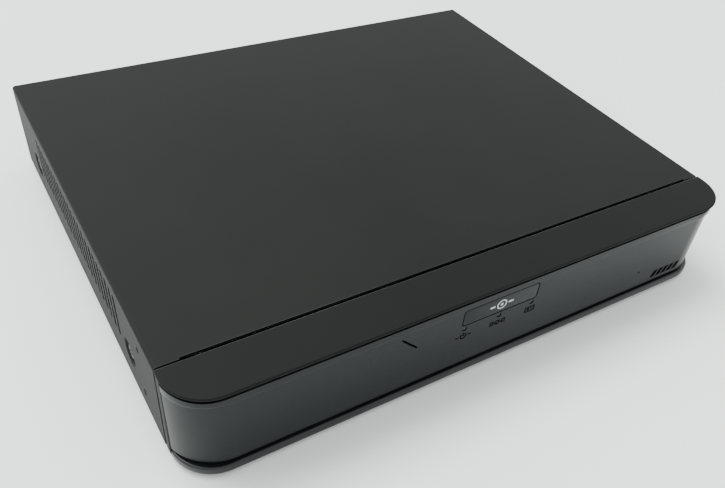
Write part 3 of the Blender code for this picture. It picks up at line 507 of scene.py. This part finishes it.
middle = node_middle("analogue_video_port").x
bm = bmesh.new()
lining_plate(bm, 3.75, 4.2)
lining = make_piece("analogue_lining", bm, blue_lining)
bm = bmesh.new()
HOLE_PROFILE = ((0, 3.3), (HOLE_RADIUS, 3.3), (HOLE_RADIUS, 5.0), (0, 5.0))
for row, shift in HOLE_ROWS:
    for k in range(-2, 3):
        spot = (middle + HOLE_PITCH * k + shift, REAR, LINING_Z + row)
        turn_shape(bm, HOLE_PROFILE, 12, spot, (0, 1, 0))
combine(lining, make_piece("holes", bm, blue_lining), "DIFFERENCE")
place(lining, "nickel_plate")

# Black behind the blue face, the tongues of the data and digital sockets, the network socket's
# sleeve, and their gold contacts.
tongues = bmesh.new()
contacts = bmesh.new()
lining_plate(tongues, 3.4, 3.7)
for level in (1.1, 9.2):
    add_in_socket(tongues, "data_port_stack", (-5.6, 5.6), (12.9, 1.85), (level + 2.8, level + 4.8), 0.3)
    for k in (-1.5, -0.5, 0.5, 1.5):
        add_in_socket(contacts, "data_port_stack", (2.4 * k - 0.5, 2.4 * k + 0.5), (11, 2.4),
                      (level + 2.65, level + 2.95))
add_in_socket(tongues, "digital_video_port", (-5.7, 5.7), (9.9, 0.9), (2.8, 4.1), 0.3)
for k in range(-4, 5):
    for z in (2.7, 4.0):
        add_in_socket(contacts, "digital_video_port", (1.1 * k - 0.2, 1.1 * k + 0.2), (9, 1.3), (z, z + 0.2))
for x, z in (((-6.05, -5.7), (3.7, 11.9)), ((5.7, 6.05), (3.7, 11.9)), ((-6.05, 6.05), (11.5, 11.9))):
    add_in_socket(tongues, "network_port", x, (13.5, 0.2), z)
add_in_socket(tongues, "network_port", (-5.9, 5.9), (13.9, 9.0), (4.0, 11.7))
middle, foot = node_middle("network_port").x, node_box("network_port")[0].z
WIRE = ((-0.22, 0), (0.22, 0), (0.22, 0.35), (-0.22, 0.35))
for k in range(8):
    x = middle + 1.02 * (k - 3.5)
    add_levels(contacts, [[(x + a, REAR - depth, foot + z + b) for a, b in WIRE]
                          for depth, z in ((9.5, 6.4), (3.4, 10.9))])
place(make_piece("socket_tongues", tongues, black_lining), "nickel_plate")
place(make_piece("socket_contacts", contacts, gold), "nickel_plate")

# Polycarbonate windows of the network lights, moulded: clear, tinted and glassy.
for side, name, colours in ((-1, "green", ("2C7A3E", "338A48")), (1, "amber", ("A8741E", "B98228"))):
    bm = bmesh.new()
    add_in_socket(bm, "network_port", (side * 5.75 - 1.4, side * 5.75 + 1.4), (1, -0.38), (0.9, 2.7), 0.2)
    window = grained(name + "_light_window", colours, (0.12, 0.2), 0.5, 0.005, clouds=2.0)
    place(make_piece("network_%s_window" % name, bm, window), "nickel_plate")

# The phono jacks' insulators, the inlet's pin and the clamps behind the terminal's two mouths.
PHONO_PROFILE = ((1.75, -1.0), (3.55, -1.0), (3.55, 0.04), (3.4, 0.08), (1.9, 0.08), (1.75, 0.0))
PIN_PROFILE = ((0, -8.8), (1.04, -8.8), (1.04, -1.0), (0.85, -0.55), (0.5, -0.35), (0, -0.3))
bm = bmesh.new()
turn_shape(bm, PHONO_PROFILE, 36, closed=True)
ring = make_piece("insulator_ring", bm, pale_lining)
spots = socket_spots(["audio_jack_in", "audio_jack_out"])
place(repeat("audio_jack_insulators", ring, spots, pale_lining), "nickel_plate")
bm = bmesh.new()
pin_spot = (node_middle("dc_inlet").x, REAR, node_box("dc_inlet")[0].z + 6.3)
turn_shape(bm, PIN_PROFILE, 24, pin_spot, (0, 1, 0))
for x in (-2.5, 2.5):
    add_in_socket(bm, "control_terminal", (x - 1.35, x + 1.35), (6.5, 1.6), (1.7, 2.2))
    add_in_socket(bm, "control_terminal", (x - 1.35, x + 1.35), (6.5, 2.2), (4.3, 4.9))
place(make_piece("inlet_pin_and_clamps", bm, nickel), "nickel_plate")


# ------------------------ power switch
# A snap-in rocker switch: a black frame in the rear panel and a glossier rocker that tilts on two
# pins in it.
finish_nodes(nylon, "power_switch_body")
# Polished mould: black with soft reflections.
switch_black = grained("switch_black_plastic", ("151617", "1C1D1F"), (0.2, 0.3), 0.6, 0.01, clouds=10.0)
finish_nodes(switch_black, "power_switch_rocker")

# The rocker's two faces meet in a shallow valley: a bar is printed on the upper one and a ring on
# the lower one. At rest the rocker leans by TILT, its lower end in.
middle = node_middle("power_switch_body")
PIVOT = Vector((middle.x, REAR - 1.9, middle.z))
TILT = Matrix.Rotation(math.radians(-9), 2)
VALLEY, UPPER, LOWER = (TILT @ Vector(point) for point in ((2.7, 0), (3.6, 5.6), (3.6, -5.6)))
FILM = 0.05
# Pad-printed ink: plain white, flat.
white_ink = grained("white_ink", ("D4D6D6", "DEE0E0"), (0.5, 0.6), 0.4, 0.005, clouds=2.0)


def curve_points(middle, radius, start, end, steps):
    """Points along an arc, from start to end degrees."""
    angles = [math.radians(start + (end - start) * k / steps) for k in range(steps + 1)]
    return [(middle[0] + radius * math.cos(a), middle[1] + radius * math.sin(a)) for a in angles]


def disc(middle, radius, steps=32):
    return curve_points(middle, radius, 0, 360 - 360 / steps, steps - 1)


def rounded_plate(half, middle, radius, steps=6):
    """The outline of a rounded rectangle, as (across, up) pairs."""
    points = []
    for across, up, start in ((1, 1, 0), (-1, 1, 90), (-1, -1, 180), (1, -1, 270)):
        centre = (middle[0] + across * (half[0] - radius), middle[1] + up * (half[1] - radius))
        points += curve_points(centre, radius, start, start + 90, steps)
    return points


def on_rocker(outline, end, height):
    """An outline in the middle of the rocker's face that runs to end, at a height over it."""
    along = (end - VALLEY).normalized()
    out = Vector((abs(along.y), -along.x if end is UPPER else along.x))
    points = [(VALLEY + end) / 2 + along * up + out * height for _, up in outline]
    return [(PIVOT.x + a, PIVOT.y + point.x, PIVOT.z + point.y) for (a, _), point in zip(outline, points)]


bm = bmesh.new()
bar = rounded_plate((0.28, 1.15), (0, 0), 0.12, 3)
add_levels(bm, [on_rocker(bar, UPPER, height) for height in (-FILM, FILM)])
outer, inner = disc((0, 0), 1.2, 28), disc((0, 0), 0.75, 28)
add_levels(bm, [on_rocker(outline, LOWER, height) for outline, height in
                ((outer, -FILM), (outer, FILM), (inner, FILM), (inner, -FILM))], hollow=True)
place(make_piece("switch_marks", bm, white_ink), "switch_black_plastic", body="power_rocker")


# ------------------------ rear printing
# Plain numerals 1 to 8 beside the video jacks, pad printed on the rear panel in white ink.
NUMERAL_SIZE = 4.2
NUMERAL_SHIFT = -8.6


def print_number(text, spot, size):
    """The mesh of a numeral that reads from behind, as a thin film at a spot."""
    line = bpy.data.curves.new("numeral", "FONT")
    line.body = text
    line.size = size * MM
    line.extrude = 0.03 * MM
    line.align_x = "CENTER"
    line.align_y = "CENTER"
    writer = new_object("numeral", line)
    graph = bpy.context.evaluated_depsgraph_get()
    mesh = bpy.data.meshes.new_from_object(writer.evaluated_get(graph), depsgraph=graph)
    bpy.data.objects.remove(writer)
    mesh.transform(Matrix.Translation(Vector(spot) * MM) @ Matrix.Rotation(math.pi, 4, "Z")
                   @ Matrix.Rotation(math.pi / 2, 4, "X"))
    return mesh


bm = bmesh.new()
for k, name in enumerate(JACKS, 1):
    middle = node_middle(name)
    mesh = print_number(str(k), (middle.x + NUMERAL_SHIFT, REAR + 0.02, middle.z), NUMERAL_SIZE)
    bm.from_mesh(mesh)
    bpy.data.meshes.remove(mesh)
bmesh.ops.remove_doubles(bm, verts=bm.verts, dist=1e-7)
bmesh.ops.scale(bm, vec=(1 / MM, 1 / MM, 1 / MM), verts=bm.verts)
place(make_piece("jack_numbers", bm, white_ink), "black_powder_coat")


# ------------------------ front moulding
# The moulded front that clips to the cover and the tray: a thin top plate level with the cover, a
# wall set back behind the fascia and a cheek at each side.
case_low, case_high = node_box("top_cover")
HALF = case_high.x
FRONT = node_box("front_bezel")[0].y
PLATE_BACK = case_low.y - 0.9
PLATE_RADIUS = 17.0
# Height, and how far in from the plate's outline.
PLATE_LEVELS = ((42.9, 0.3), (42.96, 0.1), (43.1, 0.0), (43.45, 0.0), (43.72, 0.1), (43.9, 0.28),
                (43.98, 0.48), (44.0, 0.7))
CORNER_STEPS = 28
SHELF = FRONT + 16.0
CHEEK = 6.0

# Moulded ABS with a fine spark-eroded grain: dull near-black, grey along its edges, partly from rubbing and
# partly as a painted highlight. The real grain is 0.1 mm and is drawn at 0.5 mm.
abs_plastic = grained("textured_black_plastic", ("0A0C0B", "0D0F0E"), (0.54, 0.64), 0.5, 0.02, clouds=50.0,
                      wear_and_highlight=("6C7070", 0.35), Specular_IOR_Level=0.11)


def front_outline(side, front, radius, back):
    """The front's outline from above, from its back left corner round to its back right corner.

    side and front are how far it is set in from the sides and the front of the case."""
    x = HALF - side - radius
    y = FRONT + front + radius
    trim = math.degrees(math.asin(max(0.0, y - back) / radius))
    left = curve_points((-x, y), radius, 180 + trim, 270, CORNER_STEPS)
    right = curve_points((x, y), radius, 270, 360 - trim, CORNER_STEPS)
    if trim:
        return left + right
    return [(-x - radius, back)] + left + right + [(x + radius, back)]


def add_front(bm, levels, side, front, radius, back):
    """A closed solid of the front's outline through (height, further inset) pairs."""
    add_levels(bm, [[(x, y, z) for x, y in front_outline(side + inset, front + inset, radius - inset, back)]
                    for z, inset in levels])


def ease_edges(piece, width):
    """Rounds the piece's sharp edges by width, and lets its broad faces shade flat."""
    if width:
        step = piece.modifiers.new("eased", "BEVEL")
        step.width = width * MM
        step.segments = 2
        step.limit_method = "ANGLE"
        step.angle_limit = math.radians(50)
        settle(piece)
    for face in piece.data.polygons:
        face.use_smooth = True
    piece.data.set_sharp_from_angle(angle=math.radians(35))
    step = piece.modifiers.new("level", "WEIGHTED_NORMAL")
    step.keep_sharp = True
    step.weight = 80
    settle(piece)


bm = bmesh.new()
add_front(bm, PLATE_LEVELS, 0.0, 0.0, PLATE_RADIUS, PLATE_BACK)
moulding = make_piece("front_moulding", bm, abs_plastic)
bm = bmesh.new()
add_front(bm, ((3.8, 0.0), (43.4, 0.0)), 4.6, 4.6, 14.0, PLATE_BACK - 0.1)
combine(moulding, make_piece("wall", bm, abs_plastic), "UNION")
bm = bmesh.new()
for side in (-1, 1):
    span = sorted((side * (HALF - CHEEK), side * (HALF - 0.06)))
    add_block(bm, span, (SHELF, PLATE_BACK - 0.3), (3.7, 43.3), 0.25)
combine(moulding, make_piece("cheeks", bm, abs_plastic), "UNION")
bm = bmesh.new()
add_front(bm, ((5.3, 0.0), (42.4, 0.0)), 6.6, 6.6, 12.0, PLATE_BACK + 3)
combine(moulding, make_piece("hollow", bm, abs_plastic), "DIFFERENCE")
ease_edges(moulding, 0)
place(moulding, "textured_black_plastic", "front_bezel")


# ------------------------ fascia
# One smooth satin moulding that wraps the front from cheek to cheek. A band along its top follows
# the plate's tight corners; below it the face leans in slightly and turns on a wider radius, so
# the band stands proud mainly at the corners.
FASCIA_BACK = SHELF - 0.3
FACE_TOP = (37.4, 1.15)
FACE_FOOT = (7.3, 1.75)
FACE_RADIUS = 19.5
# How far its top edge rises round each corner to meet the plate, and over what depth.
CORNER_RISE = 0.5
RISE_DEPTH = 10.0
# Height, then how far in from the cheek and from the front, and the corner radius.
FASCIA_LEVELS = ((6.9, 0.75, 2.05, 19.2), (7.0, 0.58, 1.85, 19.4),
                 (FACE_FOOT[0], 0.5, FACE_FOOT[1], FACE_RADIUS), (FACE_TOP[0], 0.3, FACE_TOP[1], FACE_RADIUS),
                 (37.55, 0.28, 1.12, 19.2), (37.75, 0.24, 1.08, 18.5),
                 (38.0, 0.19, 1.05, 17.8), (38.3, 0.14, 1.02, 17.2), (38.7, 0.1, 1.0, PLATE_RADIUS),
                 (40.7, 0.1, 1.0, PLATE_RADIUS), (40.85, 0.3, 1.2, 16.8))
BADGE_HALF = (18.25, 3.9)
BADGE_Z = 33.3
SEAT_GAP = 0.48
DOT = (83.0, 16.6)
GROOVE_START, GROOVE_END, GROOVE_HALF = Vector((-46.3, 35.1)), Vector((-39.0, 27.6)), 0.43
PIPES = ("light_pipe_power", "light_pipe_network", "light_pipe_disk")
PIPE_X = [node_middle(name).x for name in PIPES]
PIPE_Z = node_middle(PIPES[0]).z

# Satin ABS, moulded in a polished tool: near-black and smoother than the plate above it, so that
# it mirrors the pale table softly. Its grain is too fine to show.
satin = grained("satin_black_fascia", ("0E1012", "121417"), (0.26, 0.3), 0.2, 0.0003, clouds=70.0,
                Specular_IOR_Level=0.15)


def face_y(z):
    """Where the fascia's flat middle stands at a height."""
    share = (FACE_TOP[0] - z) / (FACE_TOP[0] - FACE_FOOT[0])
    return FRONT + FACE_TOP[1] + (FACE_FOOT[1] - FACE_TOP[1]) * share


bm = bmesh.new()
inner = front_outline(4.3, 4.3, 14.3, FASCIA_BACK)
rings = []
for z, inset, front, radius in FASCIA_LEVELS:
    reach = FRONT + front + radius - FASCIA_BACK
    side = inset - radius + math.sqrt(radius ** 2 - reach ** 2)
    outer = front_outline(side, front, radius, FASCIA_BACK)
    rise = CORNER_RISE if z > 40 else 0.0
    ring = []
    for x, y in outer + list(reversed(inner)):
        share = min(1.0, max(0.0, (y - FRONT - front) / RISE_DEPTH))
        ring.append((x, y, z + rise * share * share * (3 - 2 * share)))
    rings.append(ring)
add_levels(bm, rings)
fascia = make_piece("fascia", bm, satin, 50.0)

bm = bmesh.new()
seat = rounded_plate([half + SEAT_GAP for half in BADGE_HALF], (0, BADGE_Z), 1.6)
add_levels(bm, [[(a, y, b) for a, b in seat] for y in (FRONT - 1, FRONT + 3.4)])
for x in PIPE_X:
    turn_shape(bm, ((0, -3), (1.15, -3), (1.15, 4), (0, 4)), 24, (x, FRONT + 2, PIPE_Z), (0, 1, 0))
turn_shape(bm, ((0, -3), (0.5, -3), (0.55, 1.4), (0, 1.4)), 16, (DOT[0], FRONT + 2.5, DOT[1]), (0, 1, 0))
across = (GROOVE_END - GROOVE_START).orthogonal().normalized() * GROOVE_HALF
groove = (GROOVE_START + across, GROOVE_START - across, GROOVE_END - across, GROOVE_END + across)
add_levels(bm, [[(p.x, y, p.y) for p in groove] for y in (FRONT, FRONT + 3.6)])
combine(fascia, make_piece("openings", bm, satin), "DIFFERENCE")
ease_edges(fascia, 0)
place(fascia, "satin_black_fascia", "front_fascia")


# ------------------------ lip
# The front's bottom edge, moulded with the plate and the cheeks: a rounded lip that stands proud
# under the fascia, with a shadow gap between the two.
LIP_LEVELS = ((2.1, 0.6), (2.25, 0.3), (2.55, 0.08), (3.0, 0.0), (4.8, 0.0), (5.25, 0.12), (5.55, 0.4),
              (5.7, 0.8))
# The same ABS from a polished part of the tool: glossier than the plate, and painted a shade paler, which
# stands in for the sheen of the pale table it mirrors.
polished = grained("polished_black_lip", ("0F1113", "141618"), (0.28, 0.34), 0.2, 0.0003, clouds=70.0,
                   Specular_IOR_Level=0.33)
bm = bmesh.new()
add_front(bm, LIP_LEVELS, 0.3, 0.6, 16.7, PLATE_BACK - 0.2)
lip = make_piece("front_lip", bm, polished)
bm = bmesh.new()
add_front(bm, ((1.0, 0.0), (7.0, 0.0)), 4.4, 4.4, 14.0, PLATE_BACK + 3)
combine(lip, make_piece("inside", bm, polished), "DIFFERENCE")
ease_edges(lip, 0)
place(lip, "textured_black_plastic")


# ------------------------ badge
# A thin acrylic plate let into the fascia, ringed by a dead-black film that paints the shade in the gap round
# it. A plain pale emblem, a ring between two bars, is screen printed on it.

# Cast acrylic, tinted through: black and smooth, with faintly paler cut edges.
badge_black = grained("gloss_black_badge", ("0E1012", "111316"), (0.2, 0.26), 0.3, 0.0003, clouds=30.0,
                      wear_and_highlight=("55585A", 0.15), Specular_IOR_Level=0.15)
bm = bmesh.new()
rings = []
for depth, inset in ((3.1, 0.0), (0.1, 0.0), (0.03, 0.03), (0.0, 0.1)):
    ring = rounded_plate((BADGE_HALF[0] - inset, BADGE_HALF[1] - inset), (0, BADGE_Z), 1.2 - inset)
    rings.append([(a, face_y(b) + depth, b) for a, b in ring])
add_levels(bm, rings)
place(make_piece("badge", bm, badge_black), "gloss_black_badge", "badge_plate")


def print_shapes(name, shapes, finish, depths=(0.04, -0.05)):
    """Ink on the front: (outline, hole or None) pairs of (across, up) points, as a thin film."""
    back, top = depths
    bm = bmesh.new()
    for outline, hole in shapes:
        lines = [(outline, back), (outline, top)]
        if hole:
            lines += [(hole, top), (hole, back)]
        add_levels(bm, [[(a, face_y(b) + depth, b) for a, b in line] for line, depth in lines],
                   hollow=bool(hole))
    return make_piece(name, bm, finish)


# Screen-printed ink: flat pale grey, slightly rough.
pale_ink = grained("pale_grey_ink", ("9DA2A4", "A9AEAF"), (0.5, 0.6), 0.4, 0.01, clouds=3.0)
emblem = [(disc((0, BADGE_Z), 2.45), disc((0, BADGE_Z), 1.8)), (disc((0, BADGE_Z), 0.75), None),
          (rounded_plate((1.3, 0.5), (-4.5, BADGE_Z), 0.49), None),
          (rounded_plate((1.3, 0.5), (4.5, BADGE_Z), 0.49), None)]
place(print_shapes("badge_emblem", emblem, pale_ink), "gloss_black_badge")

# Painted shade: a dead-black film that fills the gap round the badge and stands for the shadow in it.
gap_shadow_black = grained("black_foam_gasket", ("020202", "040404"), (0.85, 0.95), 0.3, 0.01, clouds=3.0,
               Specular_IOR_Level=0.02)
gap_shadow_ring = [(rounded_plate([half + 0.44 for half in BADGE_HALF], (0, BADGE_Z), 1.55),
           rounded_plate([half + 0.03 for half in BADGE_HALF], (0, BADGE_Z), 1.2))]
place(print_shapes("badge_gasket", gap_shadow_ring, gap_shadow_black, (1.0, 0.08)), "gloss_black_badge")


# ------------------------ lights and printing on the fascia
# Three clear light pipes end level with the fascia. Under each is a small dark symbol: a power
# ring, three linked squares and a disk. Five slanting bars are printed low at the right end.
PIPE_PROFILE = ((0, 0), (0.7, 0.03), (0.9, 0.1), (1.0, 0.25), (1.0, 9.0), (1.2, 9.0), (1.2, 10.8), (0, 10.8))
PIPE_DEPTH = 0.22
SYMBOL_Z = 23.2
BAR_COUNT = 5
BAR_START, BAR_PITCH, BAR_WIDTH, BAR_LEAN = 93.4, 3.6, 2.4, 1.5
BAR_Z = (9.2, 13.2)

# Clear polycarbonate, moulded: glassy, and dark here with no light behind it.
clear = grained("clear_light_pipe", ("0F1112", "15181A"), (0.12, 0.2), 0.8, 0.003, clouds=4.0,
                Specular_IOR_Level=0.25)
bm = bmesh.new()
turn_shape(bm, PIPE_PROFILE, 24)
pipe = make_piece("pipe", bm, clear)
spots = [((x, face_y(PIPE_Z) + PIPE_DEPTH, PIPE_Z), (0, 1, 0), 1.0) for x in PIPE_X]
place(repeat("light_pipes", pipe, spots, clear), "clear_light_pipe", *PIPES)

# Screen-printed ink: black and dull on the satin face.
black_ink = grained("black_ink", ("020202", "040404"), (0.7, 0.8), 0.4, 0.005, clouds=3.0,
                    Specular_IOR_Level=0.02)


def small_plate(x, half, radius, steps=3):
    return rounded_plate(half, (x, SYMBOL_Z), radius, steps)


power_x, network_x, disk_x = PIPE_X
power_ring = curve_points((power_x, SYMBOL_Z), 1.6, 125, 415, 30)
power_ring += curve_points((power_x, SYMBOL_Z), 1.0, 415, 125, 30)
shapes = [(power_ring, None), (rounded_plate((0.3, 0.9), (power_x, SYMBOL_Z + 0.9), 0.2, 3), None)]
for shift in (-3.0, 3.0):
    shapes.append((small_plate(power_x + shift, (0.8, 0.3), 0.2), None))
for shift in (-2.9, 0.0, 2.9):
    shapes.append((small_plate(network_x + shift, (0.95, 1.15), 0.2),
                   small_plate(network_x + shift, (0.42, 0.62), 0.12)))
for shift in (-1.45, 1.45):
    shapes.append((small_plate(network_x + shift, (0.42, 0.26), 0.1), None))
shapes.append((small_plate(disk_x, (2.6, 1.5), 0.4, 4), small_plate(disk_x, (2.05, 0.95), 0.25, 4)))
shapes.append((disc((disk_x - 0.8, SYMBOL_Z), 0.62, 16), None))
shapes.append((small_plate(disk_x + 1.0, (0.6, 0.26), 0.2), None))
low, high = BAR_Z
for k in range(BAR_COUNT):
    left = BAR_START + BAR_PITCH * k
    shapes.append(([(left, low), (left + BAR_WIDTH, low), (left + BAR_WIDTH + BAR_LEAN, high),
                    (left + BAR_LEAN, high)], None))
place(print_shapes("fascia_printing", shapes, black_ink), "satin_black_fascia")


# ------------------------ cover
# One mild-steel sheet folded down at both sides, powder coated. Twenty-three vent slots are
# punched in each side, two dimples a side seat the screws, and three tabs fold down at the back.
SHEET = 1.0
FOLD = 1.5
VENT_COUNT = 23
VENT_PITCH = 5.13
VENT_START = FRONT + 66.0
VENT_WIDTH = 2.6
VENT_Z = (17.4, 38.1)
SKIRT = case_low.z
TOP = case_high.z
TAB_HALF = 5.0
TAB_FOOT = 33.5
CLIP_Y = FRONT + 39.4
CLIP_Z = (12.4, 34.6)
CLIP_RADIUS = 1.5
# The cover's front edge is set back behind the plate, save at its two ends.
SEAM_HALF = 121.0
SEAM_WIDTH = 0.75
SIDE_SCREWS = ["side_screw_%s_%s" % (side, end) for side in ("left", "right") for end in ("front", "rear")]
REAR_SCREWS = ["rear_screw_left", "rear_screw_middle", "rear_screw_right"]


def vent_row(length, count, pitch, width, height):
    """Geometry Nodes: the row of round-ended punches that cut the vents, as one plain mesh."""
    piece = new_object("punches", bpy.data.meshes.new("punches"))
    tree = bpy.data.node_groups.new("vent_row", "GeometryNodeTree")
    ends = tree.interface
    sizes = {}
    for label, kind, value in (("Length", "NodeSocketFloat", length), ("Count", "NodeSocketInt", count),
                               ("Pitch", "NodeSocketFloat", pitch), ("Width", "NodeSocketFloat", width),
                               ("Height", "NodeSocketFloat", height), ("Finish", "NodeSocketMaterial", coat)):
        sizes[ends.new_socket(label, in_out="INPUT", socket_type=kind).identifier] = value
    ends.new_socket("Punches", in_out="OUTPUT", socket_type="NodeSocketGeometry")
    given = add_node(tree, "NodeGroupInput").outputs
    outline = add_node(tree, "GeometryNodeCurvePrimitiveQuadrilateral", None,
                       {"Width": given["Width"], "Height": given["Height"]})
    end_radius = add_node(tree, "ShaderNodeMath", {1: 0.499}, {0: given["Width"]}, operation="MULTIPLY")
    rounded = add_node(tree, "GeometryNodeFilletCurve", {"Count": 7},
                       {"Curve": outline.outputs["Curve"], "Radius": end_radius.outputs["Value"]}, mode="POLY")
    face = add_node(tree, "GeometryNodeFillCurve", None, {"Curve": rounded.outputs["Curve"]}, mode="NGONS")
    punch = add_node(tree, "GeometryNodeExtrudeMesh", {"Individual": False},
                     {"Mesh": face.outputs["Mesh"], "Offset Scale": given["Length"]})
    back = add_node(tree, "GeometryNodeFlipFaces", None, {"Mesh": face.outputs["Mesh"]})
    whole = add_node(tree, "GeometryNodeJoinGeometry")
    tree.links.new(punch.outputs["Mesh"], whole.inputs["Geometry"])
    tree.links.new(back.outputs["Mesh"], whole.inputs["Geometry"])
    closed = add_node(tree, "GeometryNodeMergeByDistance", {"Distance": 1e-6},
                      {"Geometry": whole.outputs["Geometry"]})
    step_along = add_node(tree, "ShaderNodeCombineXYZ", None, {"Y": given["Pitch"]})
    line = add_node(tree, "GeometryNodeMeshLine", None,
                    {"Count": given["Count"], "Offset": step_along.outputs["Vector"]})
    copies = add_node(tree, "GeometryNodeInstanceOnPoints", {"Rotation": (math.pi / 2, 0.0, math.pi / 2)},
                      {"Points": line.outputs["Mesh"], "Instance": closed.outputs["Geometry"]})
    real = add_node(tree, "GeometryNodeRealizeInstances", None, {"Geometry": copies.outputs["Instances"]})
    dressed = add_node(tree, "GeometryNodeSetMaterial", None,
                       {"Geometry": real.outputs["Geometry"], "Material": given["Finish"]})
    add_node(tree, "NodeGroupOutput", None, {"Punches": dressed.outputs["Geometry"]})
    step = piece.modifiers.new("vent_row", "NODES")
    step.node_group = tree
    for identifier, value in sizes.items():
        step[identifier] = value
    settle(piece)
    return piece


bm = bmesh.new()
outer = [(-HALF, SKIRT)] + curve_points((-HALF + FOLD, TOP - FOLD), FOLD, 180, 90, 10)
outer += curve_points((HALF - FOLD, TOP - FOLD), FOLD, 90, 0, 10) + [(HALF, SKIRT)]
inner = [(HALF - SHEET, SKIRT)] + curve_points((HALF - FOLD, TOP - FOLD), FOLD - SHEET, 0, 90, 6)
inner += curve_points((-HALF + FOLD, TOP - FOLD), FOLD - SHEET, 90, 180, 6) + [(-HALF + SHEET, SKIRT)]
add_levels(bm, [[(x, y, z) for x, z in outer + inner] for y in (case_low.y, case_high.y)])
cover = make_piece("steel_cover", bm, coat)

bm = bmesh.new()
for name in REAR_SCREWS:
    middle = node_middle(name).x
    add_block(bm, (middle - TAB_HALF, middle + TAB_HALF), (case_high.y - SHEET, case_high.y - 0.1),
              (TAB_FOOT, TOP - 0.4))
combine(cover, make_piece("tabs", bm, coat), "UNION")

CUP = ((0, 0.6), (6.6, 0.6), (5.2, 2.8), (0, 2.8))
DIMPLE = ((0, -0.6), (6.7, -0.6), (6.7, -0.15), (6.0, 0.05), (5.65, 0.25), (5.35, 0.6), (4.35, 1.5),
          (4.05, 1.72), (3.7, 1.8), (0, 1.8))
SCREW_HOLE = ((0, -4), (1.8, -4), (1.8, 4), (0, 4))
SIDE_HOLE = ((0, -1), (1.8, -1), (1.8, 4), (0, 4))
cups = bmesh.new()
dimples = bmesh.new()
holes = bmesh.new()
for name in SIDE_SCREWS:
    middle = node_middle(name)
    side = 1 if middle.x > 0 else -1
    spot = (side * HALF, middle.y, middle.z)
    turn_shape(cups, CUP, 40, spot, (-side, 0, 0))
    turn_shape(dimples, DIMPLE, 40, spot, (-side, 0, 0))
    turn_shape(holes, SIDE_HOLE, 20, spot, (-side, 0, 0))
for name in REAR_SCREWS:
    middle = node_middle(name)
    turn_shape(holes, SCREW_HOLE, 20, (middle.x, case_high.y, middle.z), (0, 1, 0))
REACH = HALF + 3
for z in CLIP_Z:
    turn_shape(holes, ((0, -REACH), (CLIP_RADIUS, -REACH), (CLIP_RADIUS, REACH), (0, REACH)), 20,
               (0, CLIP_Y, z), (1, 0, 0))
combine(cover, make_piece("cups", cups, coat), "UNION")
combine(cover, make_piece("dimples", dimples, coat), "DIFFERENCE")
combine(cover, make_piece("screw_holes", holes, coat), "DIFFERENCE")

punches = vent_row(2 * REACH * MM, VENT_COUNT, VENT_PITCH * MM, VENT_WIDTH * MM, (VENT_Z[1] - VENT_Z[0]) * MM)
for corner in punches.data.vertices:
    corner.co += Vector((-REACH, VENT_START, sum(VENT_Z) / 2)) * MM
combine(cover, punches, "DIFFERENCE")

bm = bmesh.new()
add_block(bm, (-SEAM_HALF, SEAM_HALF), (case_low.y - 1, case_low.y + SEAM_WIDTH), (42.4, 45))
combine(cover, make_piece("seam", bm, coat), "DIFFERENCE")
ease_edges(cover, 0.12)
place(cover, "black_powder_coat", "top_cover")


# ------------------------ screws
# Cross-recess pan heads: black zinc on the case, bright zinc on the earth point, the board and
# the drive. Each is turned as far as its thread happened to stop.
HEAD_RADIUS = 3.4
SCREW_PROFILE = ((0, -5.5), (1.2, -5.5), (1.5, -5.0), (1.5, -0.1), (3.2, -0.1), (3.4, 0.1), (3.4, 0.55),
                 (3.2, 0.85), (2.6, 1.12), (1.7, 1.26), (0, 1.3))
RECESS_ARM, RECESS_SLIT = 1.95, 0.42


def screw_shape(finish):
    bm = bmesh.new()
    turn_shape(bm, SCREW_PROFILE, 36)
    screw = make_piece("screw", bm, finish)
    bm = bmesh.new()
    arm, slit = RECESS_ARM, RECESS_SLIT
    cross = [(slit, slit), (arm, slit), (arm, -slit), (slit, -slit), (slit, -arm), (-slit, -arm),
             (-slit, -slit), (-arm, -slit), (-arm, slit), (-slit, slit), (-slit, arm), (slit, arm)]
    add_levels(bm, [[(a * share, b * share, h) for a, b in cross] for h, share in ((-0.3, 0.55), (2.0, 1.1))])
    combine(screw, make_piece("recess", bm, finish), "DIFFERENCE")
    ease_edges(screw, 0.06)
    return screw


def screw_spots(names, facing, head):
    """Where each named screw seats: its box's middle, a head's height in from its outer end."""
    found = []
    for name in names:
        low, high = node_box(name)
        way = Vector(facing)
        if facing[0]:
            way = Vector((1, 0, 0)) if low.x > 0 else Vector((-1, 0, 0))
        middle = node_middle(name)
        radius = max(high[k] - low[k] for k in range(3) if not way[k]) / 2
        reach = [(high if way[k] > 0 else low)[k] - way[k] * head if way[k] else middle[k] for k in range(3)]
        found.append((reach, way, radius / HEAD_RADIUS))
    return found


# Black zinc plate on steel: near-black and satin, rubbed grey along its edges.
black_zinc = grained("black_screw", ("0C0D0E", "141516"), (0.35, 0.5), 0.5, 0.01, clouds=3.0,
                     wear_and_highlight=("5A5C5E", 0.15), Metallic=1.0)
# Clear zinc plate on steel: cool bright grey with a soft sheen.
zinc = grained("zinc_plated_steel", ("A4A8AA", "B4B8BA"), (0.24, 0.4), 0.5, 0.01, clouds=3.0, Metallic=1.0)
spots = screw_spots(SIDE_SCREWS, (1, 0, 0), 1.3) + screw_spots(REAR_SCREWS, (0, 1, 0), 1.25)
place(repeat("case_screws", screw_shape(black_zinc), spots, black_zinc, 90.0, 3), "black_screw",
      *SIDE_SCREWS, *REAR_SCREWS)
BOARD_SCREWS = ["board_screw_%d" % k for k in range(1, 5)]
DRIVE_SCREWS = ["drive_screw_%d" % k for k in range(1, 5)]
spots = screw_spots(BOARD_SCREWS, (0, 0, 1), 1.15) + screw_spots(DRIVE_SCREWS, (0, 0, -1), 1.15)
spots += screw_spots(["ground_screw"], (0, 1, 0), 1.38)
place(repeat("zinc_screws", screw_shape(zinc), spots, zinc, 90.0, 5), "zinc_plated_steel",
      *BOARD_SCREWS, *DRIVE_SCREWS, "ground_screw")
